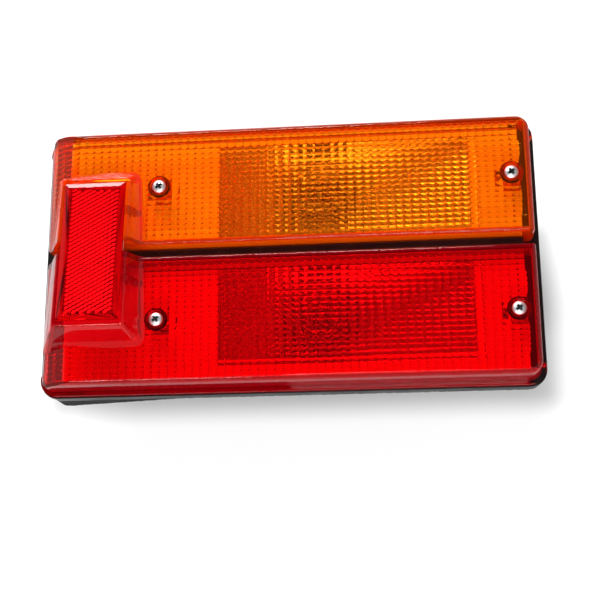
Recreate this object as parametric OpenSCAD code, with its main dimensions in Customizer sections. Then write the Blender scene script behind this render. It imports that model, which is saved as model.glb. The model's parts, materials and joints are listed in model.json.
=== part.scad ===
// Rear combination lamp with an amber lens above a red one on a single housing.
// The lenses face -Y, Z is up and X runs to the right as the lamp is looked at.
// The origin is the middle of the four mounting studs, on the mounting face.
// A "level" below is a distance in front of the mounting face, so a level of 10 is y = -10.

/* [Housing] */
// Width of the flange
body_w = 267; // [255:1:285]
// Height of the flange
body_h = 147; // [143:1:160]
// Distance from the middle of the studs to the middle of the flange, to the left
body_shift = 27.5; // [24:0.5:32]
// Corner radius of the flange
body_r = 9; // [6:0.5:14]
// Level of the flange's front face
flange_front = 13; // [11:0.5:15]
// Thickness of the flange
flange_t = 3; // [2:0.25:4]
// Wall of the moulded tray and of its rear bowls
wall = 2.5; // [2:0.1:3]
// Step from the flange's edge in to the outer skirt behind it
skirt_inset = 0.6; // [0.4:0.1:1.5]
// Thickness of the outer skirt
skirt_t = 2; // [1.5:0.1:2.5]
// Corner radius inside the tray
tray_r = 3; // [1.5:0.5:6]

/* [Foam gasket] */
// Width of the channel behind the flange that holds the foam
channel_w = 6.5; // [5:0.5:8]
// How far the foam stands behind the skirt on the flat part of the mounting face
foam_proud = 3; // [2:0.25:5]
// Angle at which the foam deepens towards the wrapped end
wedge_angle = 12; // [8:1:20]
// Length of the deepened foam, from the left edge of the flange
wedge_run = 72; // [50:1:85]

/* [Lenses] */
// Level of the flat front of both lenses
pane_front = 32; // [29:0.5:36]
// Thickness of the lens front
pane_t = 2.6; // [2:0.1:3.2]
// Thickness of the lens side walls
lens_wall = 2.4; // [2:0.1:3]
// Step from the flange's edge in to the foot of the lens walls
lens_inset = 2.8; // [2.6:0.1:4]
// Draft of the outer walls, in degrees
wall_draft = 3; // [1:0.5:6]
// Rounding of the outer front edges
edge_r = 3; // [1.5:0.25:4]
// Height of the line between the two lenses above the middle of the flange
seam_z = 1.5; // [-4:0.5:6]
// Half of the gap between the two lenses at their foot
seam_half = 2.8; // [2.6:0.1:4]
// Draft of the two walls that face each other across the gap, in degrees
seam_draft = 2; // [1:0.25:4]
// Rounding of the front edges along the gap
seam_r = 1.5; // [0.75:0.25:2.5]
// Corner radius of the lenses next to the gap
gap_corner_r = 4; // [2:0.5:5]
// Length of the wrapped left end of the lenses
wrap_run = 22; // [16:1:26]
// How far the wrapped end falls back at its tip
wrap_drop = 9.5; // [6:0.5:11]
// Width of the lip along the foot of the outer long wall
lip_w = 2.2; // [1:0.1:2.4]
// Thickness of the lip
lip_t = 2.6; // [2:0.1:4]
// How far the lip turns up the short walls
lip_turn = 11; // [9:1:20]

/* [Lens optics] */
// Width of one upright flute on the back of the lens front
flute_pitch = 4.3; // [3.5:0.1:6]
// Height of a flute's crown
flute_rise = 0.45; // [0.2:0.05:0.7]
// Plain border between the last flute and the lens wall
flute_margin = 1; // [1:0.5:8]

/* [Reflector boss] */
// Width of the boss front
boss_w = 37.2; // [35:0.1:40]
// Height of the boss front
boss_h = 83.8; // [80:0.1:92]
// Distance from the left edge of the flange to the middle of the boss
boss_from_edge = 32.4; // [31:0.1:34]
// How far the middle of the boss lies below the line between the lenses
boss_drop = 2; // [0:0.5:4]
// Rise of the boss above the lens front at its upper end
boss_rise_top = 6.5; // [5:0.5:9]
// Rise of the boss above the lens front at its lower end
boss_rise_bottom = 15; // [11:0.5:17]
// Outward slope of the boss walls, in mm for each mm of rise
boss_slope = 0.45; // [0.3:0.01:0.5]
// Corner radius of the boss walls
boss_r = 4; // [3.5:0.25:6]
// Rounding of the boss's front edge
boss_edge_r = 2; // [1.5:0.25:2.5]
// Width of the sloped foot round the boss
foot_w = 2.6; // [1.5:0.1:3.5]
// Wall of the boss
boss_wall = 2.4; // [2:0.1:2.8]

/* [Reflex reflector] */
// Width of the reflector
reflex_w = 32.8; // [30:0.1:33]
// Height of the reflector
reflex_h = 77; // [70:0.1:77.5]
// Depth of the pocket that holds it
pocket_depth = 3.4; // [3:0.1:4.5]
// How far the reflector's face stands out of the pocket
reflex_proud = 1.4; // [0.8:0.1:2.4]
// Width of the sloped rim round the face
reflex_rim = 2.6; // [1.5:0.1:4]
// Thickness of the lens under the pocket
pocket_floor = 1.8; // [1.4:0.1:2.4]
// Thickness of the backing plate under the reflector
backing_t = 1.2; // [0.8:0.1:1.6]
// Clearance round the reflector in its pocket
reflex_play = 0.25; // [0.1:0.05:0.5]

/* [Retaining bars] */
// Height of each bar
bar_h = 3.2; // [2.4:0.1:4.5]
// Depth of each bar, from front to back
bar_depth = 3.5; // [2.5:0.1:5]
// Height of the upper bar above the line between the lenses
bar_up = 23; // [16:1:28]
// Depth of the lower bar below the line between the lenses
bar_down = 16; // [12:1:28]
// Diameter of each bar's peg
peg_d = 3.4; // [2.5:0.1:4.5]
// Distance of each peg from the middle of the boss
peg_out = 9; // [5:0.5:11]

/* [Lens screws] */
// Diameter of the pan head
head_d = 7.6; // [7:0.1:8.4]
// Height of the pan head
head_t = 2.6; // [2:0.1:2.9]
// Diameter of the screw's shank
shank_d = 3.9; // [3:0.1:4.2]
// Length of the shank under the head
shank_l = 22; // [19:0.5:24]
// Distance from the flange's left edge to the left screws
screw_left = 65; // [64:0.5:70]
// Distance from the flange's right edge to the right screws
screw_right = 14; // [13:0.5:18]
// Distance of the upper screws above the middle of their lens
screw_up = 0.5; // [-3:0.5:3]
// Distance of the lower screws below the middle of their lens
screw_down = 0; // [-3:0.5:3]
// Outer diameter of the tubular column round each screw
column_d = 12.4; // [11:0.1:13]
// Diameter of the recess round each head
recess_d = 9.6; // [9.4:0.1:10.4]
// Outer diameter of the housing's screw posts
post_d = 9; // [7.5:0.1:10]
// Level of the meeting face between column and post
post_top = 16; // [14.5:0.5:18]
// Thickness of the sealing washers
washer_t = 0.8; // [0.6:0.1:1.2]
// Outer diameter of the sealing washers
washer_d = 7.2; // [6.4:0.1:7.6]
// Clearance between a screw's shank and the holes round it
shank_play = 0.1; // [0.05:0.05:0.3]

/* [Lens seals] */
// Depth of the groove in the flange that holds each seal
groove_depth = 1; // [0.6:0.1:1.6]
// How far each seal stands in front of the flange, under its lens
seal_proud = 1; // [0.6:0.1:1.6]

/* [Divider] */
// Thickness of the ridge that shows between the lenses
ridge_t = 4.3; // [3:0.1:4.6]
// How far the ridge's front edge lies behind the lens front
ridge_drop = 6; // [4:0.5:9]
// Rounding of the ridge's front edges
ridge_r = 0.8; // [0.4:0.1:1.2]
// Height of the pedestal under the gap, measured across it
pedestal_h = 15; // [13:0.5:16]
// Gap between the ridge's right end and the flange's edge
ridge_end = 9.5; // [8:0.5:14]
// Distance from the flange's left edge to the ridge's left end
ridge_start = 24; // [18:1:28]

/* [Bowl reflectors] */
// Level of the flat ledge round each bowl
ledge_level = 20; // [18.5:0.25:20.5]
// Sheet of the bowl reflectors
bowl_t = 1.4; // [1:0.1:2]
// How much nearer each bulb lies to the line between the lenses than the middle of its half
bulb_in = 2.25; // [1.25:0.25:4.75]
// Place of the bulbs along X
bulb_x = -11.5; // [-16:0.5:-6]
// Distance from the bulb to the left edge of a bowl's mouth
mouth_left = 54; // [48:1:56]
// Distance from the bulb to the right edge of a bowl's mouth
mouth_right = 86; // [70:1:88]
// How much a bowl's mouth falls short of the height of its half, on each side
mouth_short = 11.25; // [10.75:0.25:14.75]
// Half width of a bowl's floor
floor_half_w = 21; // [18:0.5:24]
// Half height of a bowl's floor
floor_half_h = 19; // [17.5:0.5:21]
// Depth of a bowl's floor behind the mounting face
bowl_depth = 6; // [4:0.5:8]
// Diameter of the hole for the bulb in a bowl's floor
bulb_hole = 27; // [26:0.5:29]
// Clearance between a bowl and what lies round it
bowl_play = 0.4; // [0.3:0.05:0.8]
// Space between a bowl's floor and the housing behind it, for the twist lugs
lug_room = 2.4; // [2:0.1:3.5]
// Distance from the lens's left end to the left edge of the ledge
ledge_start = 10.5; // [9:0.5:14]
// Extra gap between the ledge and the lens's right wall
ledge_end = 3.4; // [2:0.1:4]
// Extra gap between the ledge and the lens's outer long wall
ledge_far = 1.4; // [0.5:0.1:2]

/* [Bulbs] */
// Diameter of the glass
glass_d = 25; // [22:0.5:25.5]
// Length of the glass in front of the cap
glass_l = 35; // [32:0.5:36]
// Wall of the glass
glass_t = 0.9; // [0.6:0.1:1.2]
// Diameter of the cap
cap_d = 15; // [14.5:0.1:15.2]
// Length of the cap
cap_l = 17.5; // [16:0.5:19]
// Diameter of the bayonet pins
pin_d = 2; // [1.6:0.1:2.2]
// How far the bayonet pins stand out
pin_out = 1; // [0.7:0.1:1.3]
// Height of a solder contact at the cap's end
pip_h = 1; // [0.6:0.1:1.4]
// Diameter of the supporting wires
lead_d = 0.7; // [0.5:0.1:1]
// Length of a filament
filament_l = 6; // [4:0.5:8]
// Diameter of a filament's coil
filament_d = 1; // [0.8:0.1:1.4]

/* [Bulb holders] */
// Diameter of the aperture in the housing
aperture_d = 30; // [29.5:0.1:31]
// Diameter of a holder's flange
holder_flange_d = 36.5; // [35.5:0.1:38]
// Thickness of a holder's flange
holder_flange_t = 2.5; // [2:0.1:3.5]
// Outer diameter of a holder's cup
cup_d = 20; // [19.5:0.1:22]
// Clearance between the bulb's cap and the cup
cap_play = 0.2; // [0.1:0.05:0.3]
// Thickness of the cup's end
cup_end = 2.5; // [2:0.1:3.5]
// Thickness of the rubber ring under a holder
ring_t = 1.5; // [1:0.1:2.2]
// Width of the rubber ring under a holder
ring_w = 2.4; // [1.8:0.1:2.6]
// Width of a twist lug
lug_w = 6; // [4:0.5:8]
// Thickness of a twist lug
lug_t = 1.8; // [1.2:0.1:1.9]
// How far a twist lug reaches past the aperture's edge
lug_reach = 1.8; // [1:0.1:2]

/* [Contacts] */
// Width of the blade terminals
blade_w = 6.3; // [4.8:0.1:6.5]
// Thickness of the brass strip
strip_t = 0.8; // [0.6:0.1:1]
// Length of the blades behind the holders
blade_l = 8; // [6:0.5:10]
// Space between the cap's end and the cup's end, for the contact leaves
leaf_room = 3; // [2.5:0.25:4]
// Width of the earth strip between the holders
earth_w = 8; // [5:0.5:10]

/* [Mounting studs] */
// Thread diameter of the studs
stud_d = 6; // [5:0.5:8]
// Distance between the studs along X
stud_dx = 172; // [166:1:173]
// How far the studs stand past the lens screws, along Z
stud_past = 11; // [10:0.5:14]
// How far a stud's pressed shank stands out round its thread, inside the tray
stud_neck = 0.5; // [0.3:0.05:0.8]
// Length of the studs behind the mounting face
stud_l = 20; // [14:1:30]
// Diameter of a stud's head
stud_head_d = 11; // [10:0.5:12]
// Height of a stud's head
stud_head_t = 3; // [2:0.25:4]
// Outer diameter of the boss under a stud's head
stud_boss_d = 14; // [13:0.5:16]
// Clearance between a stud and its hole
stud_play = 0.15; // [0.1:0.05:0.4]

/* [Hidden] */
$fn = 48;
arc_steps = 6;
over = 1;
sliver = 0.01;
amber = [1, 0.5, 0.05];
red = [0.85, 0.02, 0.08];
black = [0.08, 0.08, 0.09];
foam = [0.2, 0.2, 0.21];
silver = [0.85, 0.86, 0.88];
brass = [0.8, 0.66, 0.33];

x_left = -body_shift - body_w / 2;
x_right = -body_shift + body_w / 2;
skirt_back = foam_proud;
flange_back = flange_front - flange_t;
foam_inset = skirt_inset + skirt_t;
tray_inset = foam_inset + channel_w;
tray_inner = tray_inset + wall;

least_r = 0.5;
corner_r = 1;
wrap_tip = 1.5;
seat = flange_front + seal_proud;
lens_x0 = x_left + lens_inset;
lens_x1 = x_right - lens_inset;
lens_top = body_h / 2 - lens_inset;
lens_bottom = -lens_top;
lens_corner = max(body_r - lens_inset, corner_r);

boss_x = x_left + boss_from_edge;
boss_z = seam_z - boss_drop;
boss_tilt = atan((boss_rise_bottom - boss_rise_top) / boss_h);
boss_mid = pane_front + (boss_rise_top + boss_rise_bottom) / 2;
boss_root = pane_front - wrap_drop - wrap_tip;

pocket_w = reflex_w + 2 * reflex_play;
pocket_h = reflex_h + 2 * reflex_play;
boss_skin = pocket_depth + pocket_floor;

screw_xs = [x_left + screw_left, x_right - screw_right];
head_seat = pane_front - head_t - washer_t;
shank_hole = shank_d + 2 * shank_play;
head_base = head_seat + washer_t;

ridge_front = pane_front - ridge_drop;
bulb_off = body_h / 4 - bulb_in;
mouth_half = body_h / 4 - mouth_short;
bowl_floor = -bowl_depth;
bowl_back = bowl_floor - bowl_t;
house_bowl_in = bowl_back - lug_room;
house_bowl_out = house_bowl_in - wall;
house_bowl_gap = bowl_t + bowl_play;
tray_floor = skirt_back + wall;

plug_rim = 0.2;
cap_front = house_bowl_out;
cap_back = cap_front - cap_l;
glass_tip = cap_front + glass_l;
cup_floor = cap_back - leaf_room;
cup_back = cup_floor - cup_end;
holder_face = house_bowl_out - ring_t;
holder_back = holder_face - holder_flange_t;
plug_front = house_bowl_in + lug_t + plug_rim;

seam_step = (pane_front - seat) * tan(seam_draft);
groove_play = 0.15;
boss_least_r = 0.8;
disc_t = 0.1;
flute_steps = 4;
flute_step = 0.6;
bar_play = 0.3;
bar_gap = 0.1;
bar_bevel = 0.8;
bar_leg_t = 3;
bar_leg_past = 1.4;
reflex_rim_slope = 0.3;
stud_boss_rise = 1.5;
stud_neck_d = stud_d + 2 * stud_neck;
stud_dz = screw_z(1) - screw_z(-1) + 2 * stud_past;
stud_point = 1;
stud_chamfer = 0.75;
post_end_room = 1;
lug_play = 0.4;
holder_play = 0.2;
strip_play = 0.1;
earth_rim = 2;
leaf_w = 4;
cap_wall = 0.4;
cap_sunk = 0.5;
stem_d = 7;
stem_l = 8;
light_centre = 19;
filament_gap = 4;
pin_drop = 8;
pip_d = 4;
pip_off = 3.6;
blade_off = 5.2;
long_heel = 3;
long_tip = 0.5;
short_heel = 1.4;
head_crown_r = 6.5;
screw_tip_d = 1;
cross_w = 4.4;
cross_t = 1.1;
cross_h = 1.5;
cross_turn = 20;

// Points on an arc round (cx, cy)
function arc(cx, cy, r, a0, a1) =
    [for (i = [0:arc_steps]) let(a = a0 + (a1 - a0) * i / arc_steps) [cx + r * cos(a), cy + r * sin(a)]];

// Rectangle from (x0, y0) to (x1, y1), with a corner radius for each corner from the lower left round
function round_rect(x0, y0, x1, y1, r) = concat(
    arc(x0 + r[0], y0 + r[0], r[0], 180, 270), arc(x1 - r[1], y0 + r[1], r[1], 270, 360),
    arc(x1 - r[2], y1 - r[2], r[2], 0, 90), arc(x0 + r[3], y1 - r[3], r[3], 90, 180));

// Centre, across the wall, of the rounding between a drafted wall and the lens front
function round_centre(edge, side, back, front, draft, r) =
    edge - side * (r + (front - r - back) * sin(draft)) / cos(draft);

// Section of a moulded cap: upright walls with draft, a flat front and rounded front edges
function cap_section(lo, hi, back, front, draft_lo, draft_hi, r_lo, r_hi) = concat(
    [[lo, back], [hi, back]],
    arc(round_centre(hi, 1, back, front, draft_hi, r_hi), front - r_hi, r_hi, draft_hi, 90),
    arc(round_centre(lo, -1, back, front, draft_lo, r_lo), front - r_lo, r_lo, 90, 180 - draft_lo));

// The same section lengthways, with the wrapped left end that falls back to its tip
function wrapped_section(lo, hi, back, front, draft, r, run, drop, tip) =
    let(big = (run * run + drop * drop) / (2 * drop))
    concat([[lo, back], [hi, back]],
        arc(round_centre(hi, 1, back, front, draft, r), front - r, r, draft, 90),
        arc(lo + run, front - big, big, 90, 90 + asin((run - tip) / big)),
        [[lo, front - drop - tip]]);

// Drawing in the front view, given depth between two levels
module between(level0, level1) {
    translate([0, -level0, 0]) rotate([90, 0, 0]) linear_extrude(level1 - level0) children();
}

// Drawing in the top view as (x, level), given height
module lengthways(z0, z1) {
    translate([0, 0, z0]) linear_extrude(z1 - z0) mirror([0, 1]) children();
}

// Drawing in the side view as (z, level), given length
module crossways(x0, x1) {
    translate([x0, 0, 0]) rotate([90, 0, 90]) linear_extrude(x1 - x0) rotate(90) children();
}

// Turned pieces and bores, with their axis through (x, z) and their own Z as the level
module on_axis(x, z) {
    translate([x, 0, z]) rotate([90, 0, 0]) children();
}

module rod(d, level0, level1) {
    translate([0, 0, level0]) cylinder(d = d, h = level1 - level0);
}

// Corner radius of the housing's outline, stepped in from the flange's edge
function body_corner(inset) = max(body_r - inset, corner_r);

module body_outline(inset, r) {
    polygon(round_rect(x_left + inset, -body_h / 2 + inset, x_right - inset, body_h / 2 - inset,
        [r, r, r, r]));
}

module rectangle(r) {
    translate([r[0], r[2]]) square([r[1] - r[0], r[3] - r[2]]);
}

// Four-sided funnel from a mouth to a smaller floor, both given as [x0, x1, z0, z1]
module funnel(mouth, mouth_level, base, base_level) {
    intersection() {
        lengthways(min(mouth[2], base[2]), max(mouth[3], base[3]))
            polygon([[base[0], base_level], [base[1], base_level], [mouth[1], mouth_level],
                [mouth[0], mouth_level]]);
        crossways(min(mouth[0], base[0]), max(mouth[1], base[1]))
            polygon([[base[2], base_level], [base[3], base_level], [mouth[3], mouth_level],
                [mouth[2], mouth_level]]);
    }
}

// Rectangle part of the way from a base to a mouth, all given as [x0, x1, z0, z1]
function blend(base, mouth, t) = [for (i = [0:3]) base[i] + (mouth[i] - base[i]) * t];
function bowl_base(side, grow) = [bulb_x - floor_half_w - grow, bulb_x + floor_half_w + grow,
    bulb_z(side) - floor_half_h - grow, bulb_z(side) + floor_half_h + grow];
function bowl_mouth(side, grow) = [bulb_x - mouth_left - grow, bulb_x + mouth_right + grow,
    bulb_z(side) - mouth_half - grow, bulb_z(side) + mouth_half + grow];

// Inside of the housing's rear bowl at a level, grown by a margin
function house_bowl_at(level, side, grow) =
    blend(bowl_base(side, house_bowl_gap + grow), bowl_mouth(side, house_bowl_gap + grow),
        (level - house_bowl_in) / (ledge_level - house_bowl_in));

// Side is 1 for the upper, amber half and -1 for the lower, red half
function bulb_z(side) = seam_z + side * bulb_off;
function lens_mid(side) = (seam_z + side * (seam_half + lens_top)) / 2;
function screw_z(side) = lens_mid(side) + (side > 0 ? screw_up : -screw_down);
function near_edge(side, step) = seam_z + side * (seam_half + step);
function far_edge(side, step) = side > 0 ? lens_top - step : lens_bottom + step;
function low_z(side, step) = side > 0 ? near_edge(side, step) : far_edge(side, step);
function high_z(side, step) = side > 0 ? far_edge(side, step) : near_edge(side, step);
function boss_level(z) = boss_mid - (z - boss_z) * tan(boss_tilt);

// Foot of a lens wall in the front view, stepped in from its outer face
module lens_foot(side, step) {
    corner = max(lens_corner - step, gap_corner_r - step, least_r);
    near = max(gap_corner_r - step, least_r);
    r = side > 0 ? [near, near, corner, corner] : [corner, corner, near, near];
    polygon(round_rect(lens_x0 + step, low_z(side, step), lens_x1 - step, high_z(side, step), r));
}

// Outer form of a lens without its boss, or the hollow inside it when given steps
module lens_form(side, step, front_step) {
    big = (wrap_run * wrap_run + wrap_drop * wrap_drop) / (2 * wrap_drop) - front_step;
    run = wrap_run - step;
    drop = big - sqrt(big * big - run * run);
    front = pane_front - front_step;
    far_r = max(edge_r - step, least_r);
    near_r = max(seam_r - step, least_r);
    z0 = low_z(side, step);
    z1 = high_z(side, step);
    back = seat - (step > 0 ? over : 0);
    intersection() {
        between(back, front) lens_foot(side, step);
        lengthways(z0 - over, z1 + over)
            polygon(wrapped_section(lens_x0 + step, lens_x1 - step, seat, front, wall_draft, far_r,
                run, drop, wrap_tip));
        crossways(lens_x0, lens_x1)
            polygon(side > 0
                ? cap_section(z0, z1, seat, front, seam_draft, wall_draft, near_r, far_r)
                : cap_section(z0, z1, seat, front, wall_draft, seam_draft, far_r, near_r));
    }
}

// Lip along the foot of the outer long wall, turned a little way up the short walls
module lens_lip(side) {
    edge = far_edge(side, -lip_w);
    turn = edge - side * lip_turn;
    r = lens_corner + lip_w;
    between(seat, seat + lip_t)
        polygon(round_rect(lens_x0 - lip_w, min(edge, turn), lens_x1 + lip_w, max(edge, turn),
            side > 0 ? [corner_r, corner_r, r, r] : [r, r, corner_r, corner_r]));
}

// Corner of the boss at its root, sunk through the lens front, as a standing disc
module boss_root_disc(sx, sz, step, level) {
    z = boss_z + sz * boss_h / 2;
    out = boss_slope * (boss_level(z) - level) - step;
    r = max(boss_r - step, boss_least_r);
    on_axis(boss_x + sx * (boss_w / 2 + out - r), z + sz * (out - r)) rod(2 * r, level, level + disc_t);
}

// Boss round the reflector: a tilted front on sloping walls
module boss_block(step, front_step) {
    r = max(boss_edge_r - step, boss_least_r);
    inset = r * (sqrt(1 + boss_slope * boss_slope) - boss_slope);
    hull() {
        for (sx = [-1, 1], sz = [-1, 1]) {
            z = boss_z + sz * (boss_h / 2 - step - inset);
            x = boss_x + sx * (boss_w / 2 - step + boss_slope * front_step - inset);
            translate([x, r / cos(boss_tilt) + front_step - boss_level(z), z]) sphere(r, $fn = 20);
            boss_root_disc(sx, sz, step, boss_root, $fn = 24);
        }
    }
}

// Sloped foot where the boss walls run out into the lens front
module boss_foot() {
    hull() {
        for (sx = [-1, 1], sz = [-1, 1]) {
            boss_root_disc(sx, sz, 0, pane_front + foot_w, $fn = 24);
            boss_root_disc(sx, sz, sx > 0 ? -foot_w : 0, pane_front - pane_t / 2, $fn = 24);
        }
    }
}

// Half space on one side of the gap, stepped back from it and ending at the lens's left wall
module half_space(side, step) {
    edge = seam_z + side * (seam_half + seam_step + step);
    z0 = side > 0 ? edge : -body_h;
    z1 = side > 0 ? body_h : edge;
    translate([lens_x0, -boss_mid - body_h, z0]) cube([body_w, 2 * body_h, z1 - z0]);
}

// Frame of the boss front: its own level is 0 on the front face
module on_boss() {
    translate([boss_x, -boss_mid, boss_z]) rotate([-boss_tilt, 0, 0]) children();
}

// Outline of the boss where it meets the lens front, stepped out and sunk through the flutes
module boss_clearing() {
    hull() {
        for (sx = [-1, 1], sz = [-1, 1], level = [pane_front - pane_t - flute_rise - over, pane_front])
            boss_root_disc(sx, sz, -flute_step, level, $fn = 24);
    }
}

// Upright flutes on the back of the lens front, up to the boss
module flutes(side) {
    x0 = lens_x0 + wrap_run;
    x1 = lens_x1 - lens_wall - flute_margin;
    count = floor((x1 - x0) / flute_pitch);
    level = pane_front - pane_t;
    r = (flute_pitch * flute_pitch / 4 + flute_rise * flute_rise) / (2 * flute_rise);
    half = asin(flute_pitch / 2 / r);
    crowns = [for (i = [0:count - 1], k = [0:flute_steps - 1])
        let(a = -half + 2 * half * k / flute_steps)
        [x0 + (i + 0.5) * flute_pitch + r * sin(a), level - flute_rise + r - r * cos(a)]];
    z0 = low_z(side, lens_wall + flute_margin);
    z1 = high_z(side, lens_wall + flute_margin);
    end = x0 + count * flute_pitch;
    difference() {
        lengthways(z0, z1)
            polygon(concat(crowns, [[end, level], [end, level + pane_t / 2], [x0, level + pane_t / 2]]));
        boss_clearing();
    }
}

module peg_holes(side, d) {
    on_boss() for (sx = [-1, 1]) {
        on_axis(sx * peg_out, bar_z(side)) rod(d, -boss_skin - over, 0);
    }
}

// Height of a bar in the boss's own frame
function bar_z(side) =
    (seam_z + (side > 0 ? bar_up : -bar_down) - boss_z) / cos(boss_tilt);

// A moulded lens: wrapped end, lip, half of the split boss, screw columns and flutes
module lens(side) {
    difference() {
        union() {
            difference() {
                union() {
                    lens_form(side, 0, 0);
                    lens_lip(side);
                    intersection() {
                        union() {
                            boss_block(0, 0);
                            boss_foot();
                        }
                        half_space(side, 0);
                    }
                }
                lens_form(side, lens_wall, pane_t);
                intersection() {
                    boss_block(boss_wall, boss_skin);
                    half_space(side, lens_wall);
                }
            }
            flutes(side);
            for (x = screw_xs) {
                on_axis(x, screw_z(side)) rod(column_d, post_top, pane_front - pane_t / 2);
            }
        }
        on_boss() between(-pocket_depth, over + boss_rise_bottom)
            square([pocket_w, pocket_h], center = true);
        peg_holes(side, peg_d + 2 * reflex_play);
        for (x = screw_xs) on_axis(x, screw_z(side)) {
            rod(recess_d, head_seat, pane_front + over);
            rod(shank_hole, post_top - over, pane_front);
        }
    }
}

module amber_lens() { color(amber) lens(1); }
module red_lens() { color(red) lens(-1); }

// Rubber ring under the foot of a lens
module seal_ring(side, play) {
    difference() {
        lens_foot(side, -play);
        lens_foot(side, lens_wall + play);
    }
}

module lens_seal(side) {
    color(black) between(flange_front - groove_depth, seat) seal_ring(side, 0);
}

module amber_lens_seal() { lens_seal(1); }
module red_lens_seal() { lens_seal(-1); }

// Ring of the housing's outline between two steps from the flange's edge
module body_ring(outer, inner, r) {
    difference() {
        body_outline(outer, body_corner(outer));
        body_outline(inner, r);
    }
}

// Ridge that stands in the gap between the lenses
module ridge() {
    half = ridge_t / 2;
    crossways(x_left + ridge_start, x_right - ridge_end)
        polygon(cap_section(seam_z - half, seam_z + half, flange_front - over, ridge_front,
            0, 0, ridge_r, ridge_r));
}

module housing() {
    color(black) difference() {
        union() {
            between(flange_back, flange_front) body_ring(0, tray_inner, tray_r);
            between(skirt_back, flange_back)
                body_ring(skirt_inset, foam_inset, body_corner(foam_inset));
            between(skirt_back, flange_back) body_ring(tray_inset, tray_inner, tray_r);
            between(skirt_back, tray_floor) body_outline(tray_inner - wall / 2, tray_r);
            between(tray_floor, flange_front)
                translate([x_left + tray_inner - wall / 2, seam_z - pedestal_h / 2])
                    square([body_w - 2 * tray_inner + wall, pedestal_h]);
            ridge();
            for (side = [-1, 1]) {
                funnel(house_bowl_at(tray_floor + wall, side, wall), tray_floor,
                    house_bowl_at(house_bowl_in, side, wall), house_bowl_out);
                for (x = screw_xs) on_axis(x, screw_z(side)) rod(post_d, skirt_back, post_top);
            }
            for (sx = [-1, 1], sz = [-1, 1]) {
                on_axis(sx * stud_dx / 2, sz * stud_dz / 2)
                    rod(stud_boss_d, skirt_back, tray_floor + stud_boss_rise);
            }
        }
        for (side = [-1, 1]) {
            funnel(house_bowl_at(ledge_level, side, 0), ledge_level,
                house_bowl_at(house_bowl_in, side, 0), house_bowl_in);
            between(flange_front - groove_depth, seat + over) seal_ring(side, groove_play);
            on_axis(bulb_x, bulb_z(side)) rod(aperture_d, house_bowl_out - over, house_bowl_in + over);
            lug_slots(side);
            for (x = screw_xs) on_axis(x, screw_z(side)) {
                rod(shank_hole, head_base - shank_l - post_end_room, post_top + over);
            }
        }
        for (sx = [-1, 1], sz = [-1, 1]) {
            on_axis(sx * stud_dx / 2, sz * stud_dz / 2)
                rod(stud_neck_d + 2 * stud_play, skirt_back - over, tray_floor + stud_boss_rise + over);
        }
    }
}

// Three radial bars, used as the twist lugs and, wider, as the slots they enter by
module lug_bars(reach, w, level0, level1) {
    start = aperture_d / 2 - holder_play - over;
    for (k = [0:2]) rotate(120 * k) {
        translate([start, -w / 2, level0]) cube([reach - start, w, level1 - level0]);
    }
}

module lug_slots(side) {
    on_axis(bulb_x, bulb_z(side)) rotate(60)
        lug_bars(aperture_d / 2 + lug_reach + lug_play, lug_w + 2 * lug_play, house_bowl_out - over,
            house_bowl_in + over);
}

// Foam that fills the channel behind the flange and deepens towards the wrapped end
module body_gasket() {
    wedge_x = x_left + wedge_run;
    color(foam) union() {
        between(skirt_back, flange_back) body_ring(foam_inset, tray_inset, body_corner(tray_inset));
        intersection() {
            between(-body_h, skirt_back) body_ring(skirt_inset, tray_inset, body_corner(tray_inset));
            lengthways(-body_h, body_h)
                polygon([[x_left - over, -(wedge_run + over) * tan(wedge_angle)], [wedge_x, 0],
                    [x_right + over, 0], [x_right + over, skirt_back + over],
                    [x_left - over, skirt_back + over]]);
        }
    }
}

// Reflector face with a sloped rim, in the boss's own frame
module reflex_reflector() {
    back = backing_t - pocket_depth;
    color(red) on_boss() intersection() {
        lengthways(-reflex_h, reflex_h) reflex_section(reflex_w, back);
        crossways(-reflex_w, reflex_w) reflex_section(reflex_h, back);
    }
}

module reflex_section(w, back) {
    rim_level = reflex_proud - reflex_rim * reflex_rim_slope;
    polygon([[-w / 2, back], [w / 2, back], [w / 2, rim_level], [w / 2 - reflex_rim, reflex_proud],
        [reflex_rim - w / 2, reflex_proud], [-w / 2, rim_level]]);
}

module reflector_backing() {
    color(silver) difference() {
        on_boss() between(-pocket_depth, backing_t - pocket_depth)
            square([reflex_w, reflex_h], center = true);
        peg_holes(1, peg_d + 2 * reflex_play);
        peg_holes(-1, peg_d + 2 * reflex_play);
    }
}

// Bar with two legs along the boss walls and two pegs through the pocket's floor
module retaining_bar(side) {
    top = -boss_skin - bar_gap;
    root = boss_w / 2 - boss_wall + boss_slope * boss_skin - bar_play;
    leg = boss_level(seam_z + (side > 0 ? bar_up : -bar_down)) - pane_front + pane_t + bar_leg_past;
    foot = root + boss_slope * (leg - boss_skin);
    inner = root - bar_leg_t;
    shoulder = root + boss_slope * bar_bevel;
    on_boss() {
        lengthways(bar_z(side) - bar_h / 2, bar_z(side) + bar_h / 2)
            polygon([[bar_bevel - root, top], [-shoulder, top - bar_bevel], [-foot, -leg],
                [bar_leg_t - foot, -leg], [-inner - boss_slope * bar_depth, top - bar_depth],
                [inner + boss_slope * bar_depth, top - bar_depth], [foot - bar_leg_t, -leg],
                [foot, -leg], [shoulder, top - bar_bevel], [root - bar_bevel, top]]);
        for (sx = [-1, 1]) on_axis(sx * peg_out, bar_z(side))
            rod(peg_d, top - bar_depth / 2, backing_t - pocket_depth);
    }
}

module upper_retaining_bar() { color(red) retaining_bar(1); }
module lower_retaining_bar() { color(red) retaining_bar(-1); }

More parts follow.
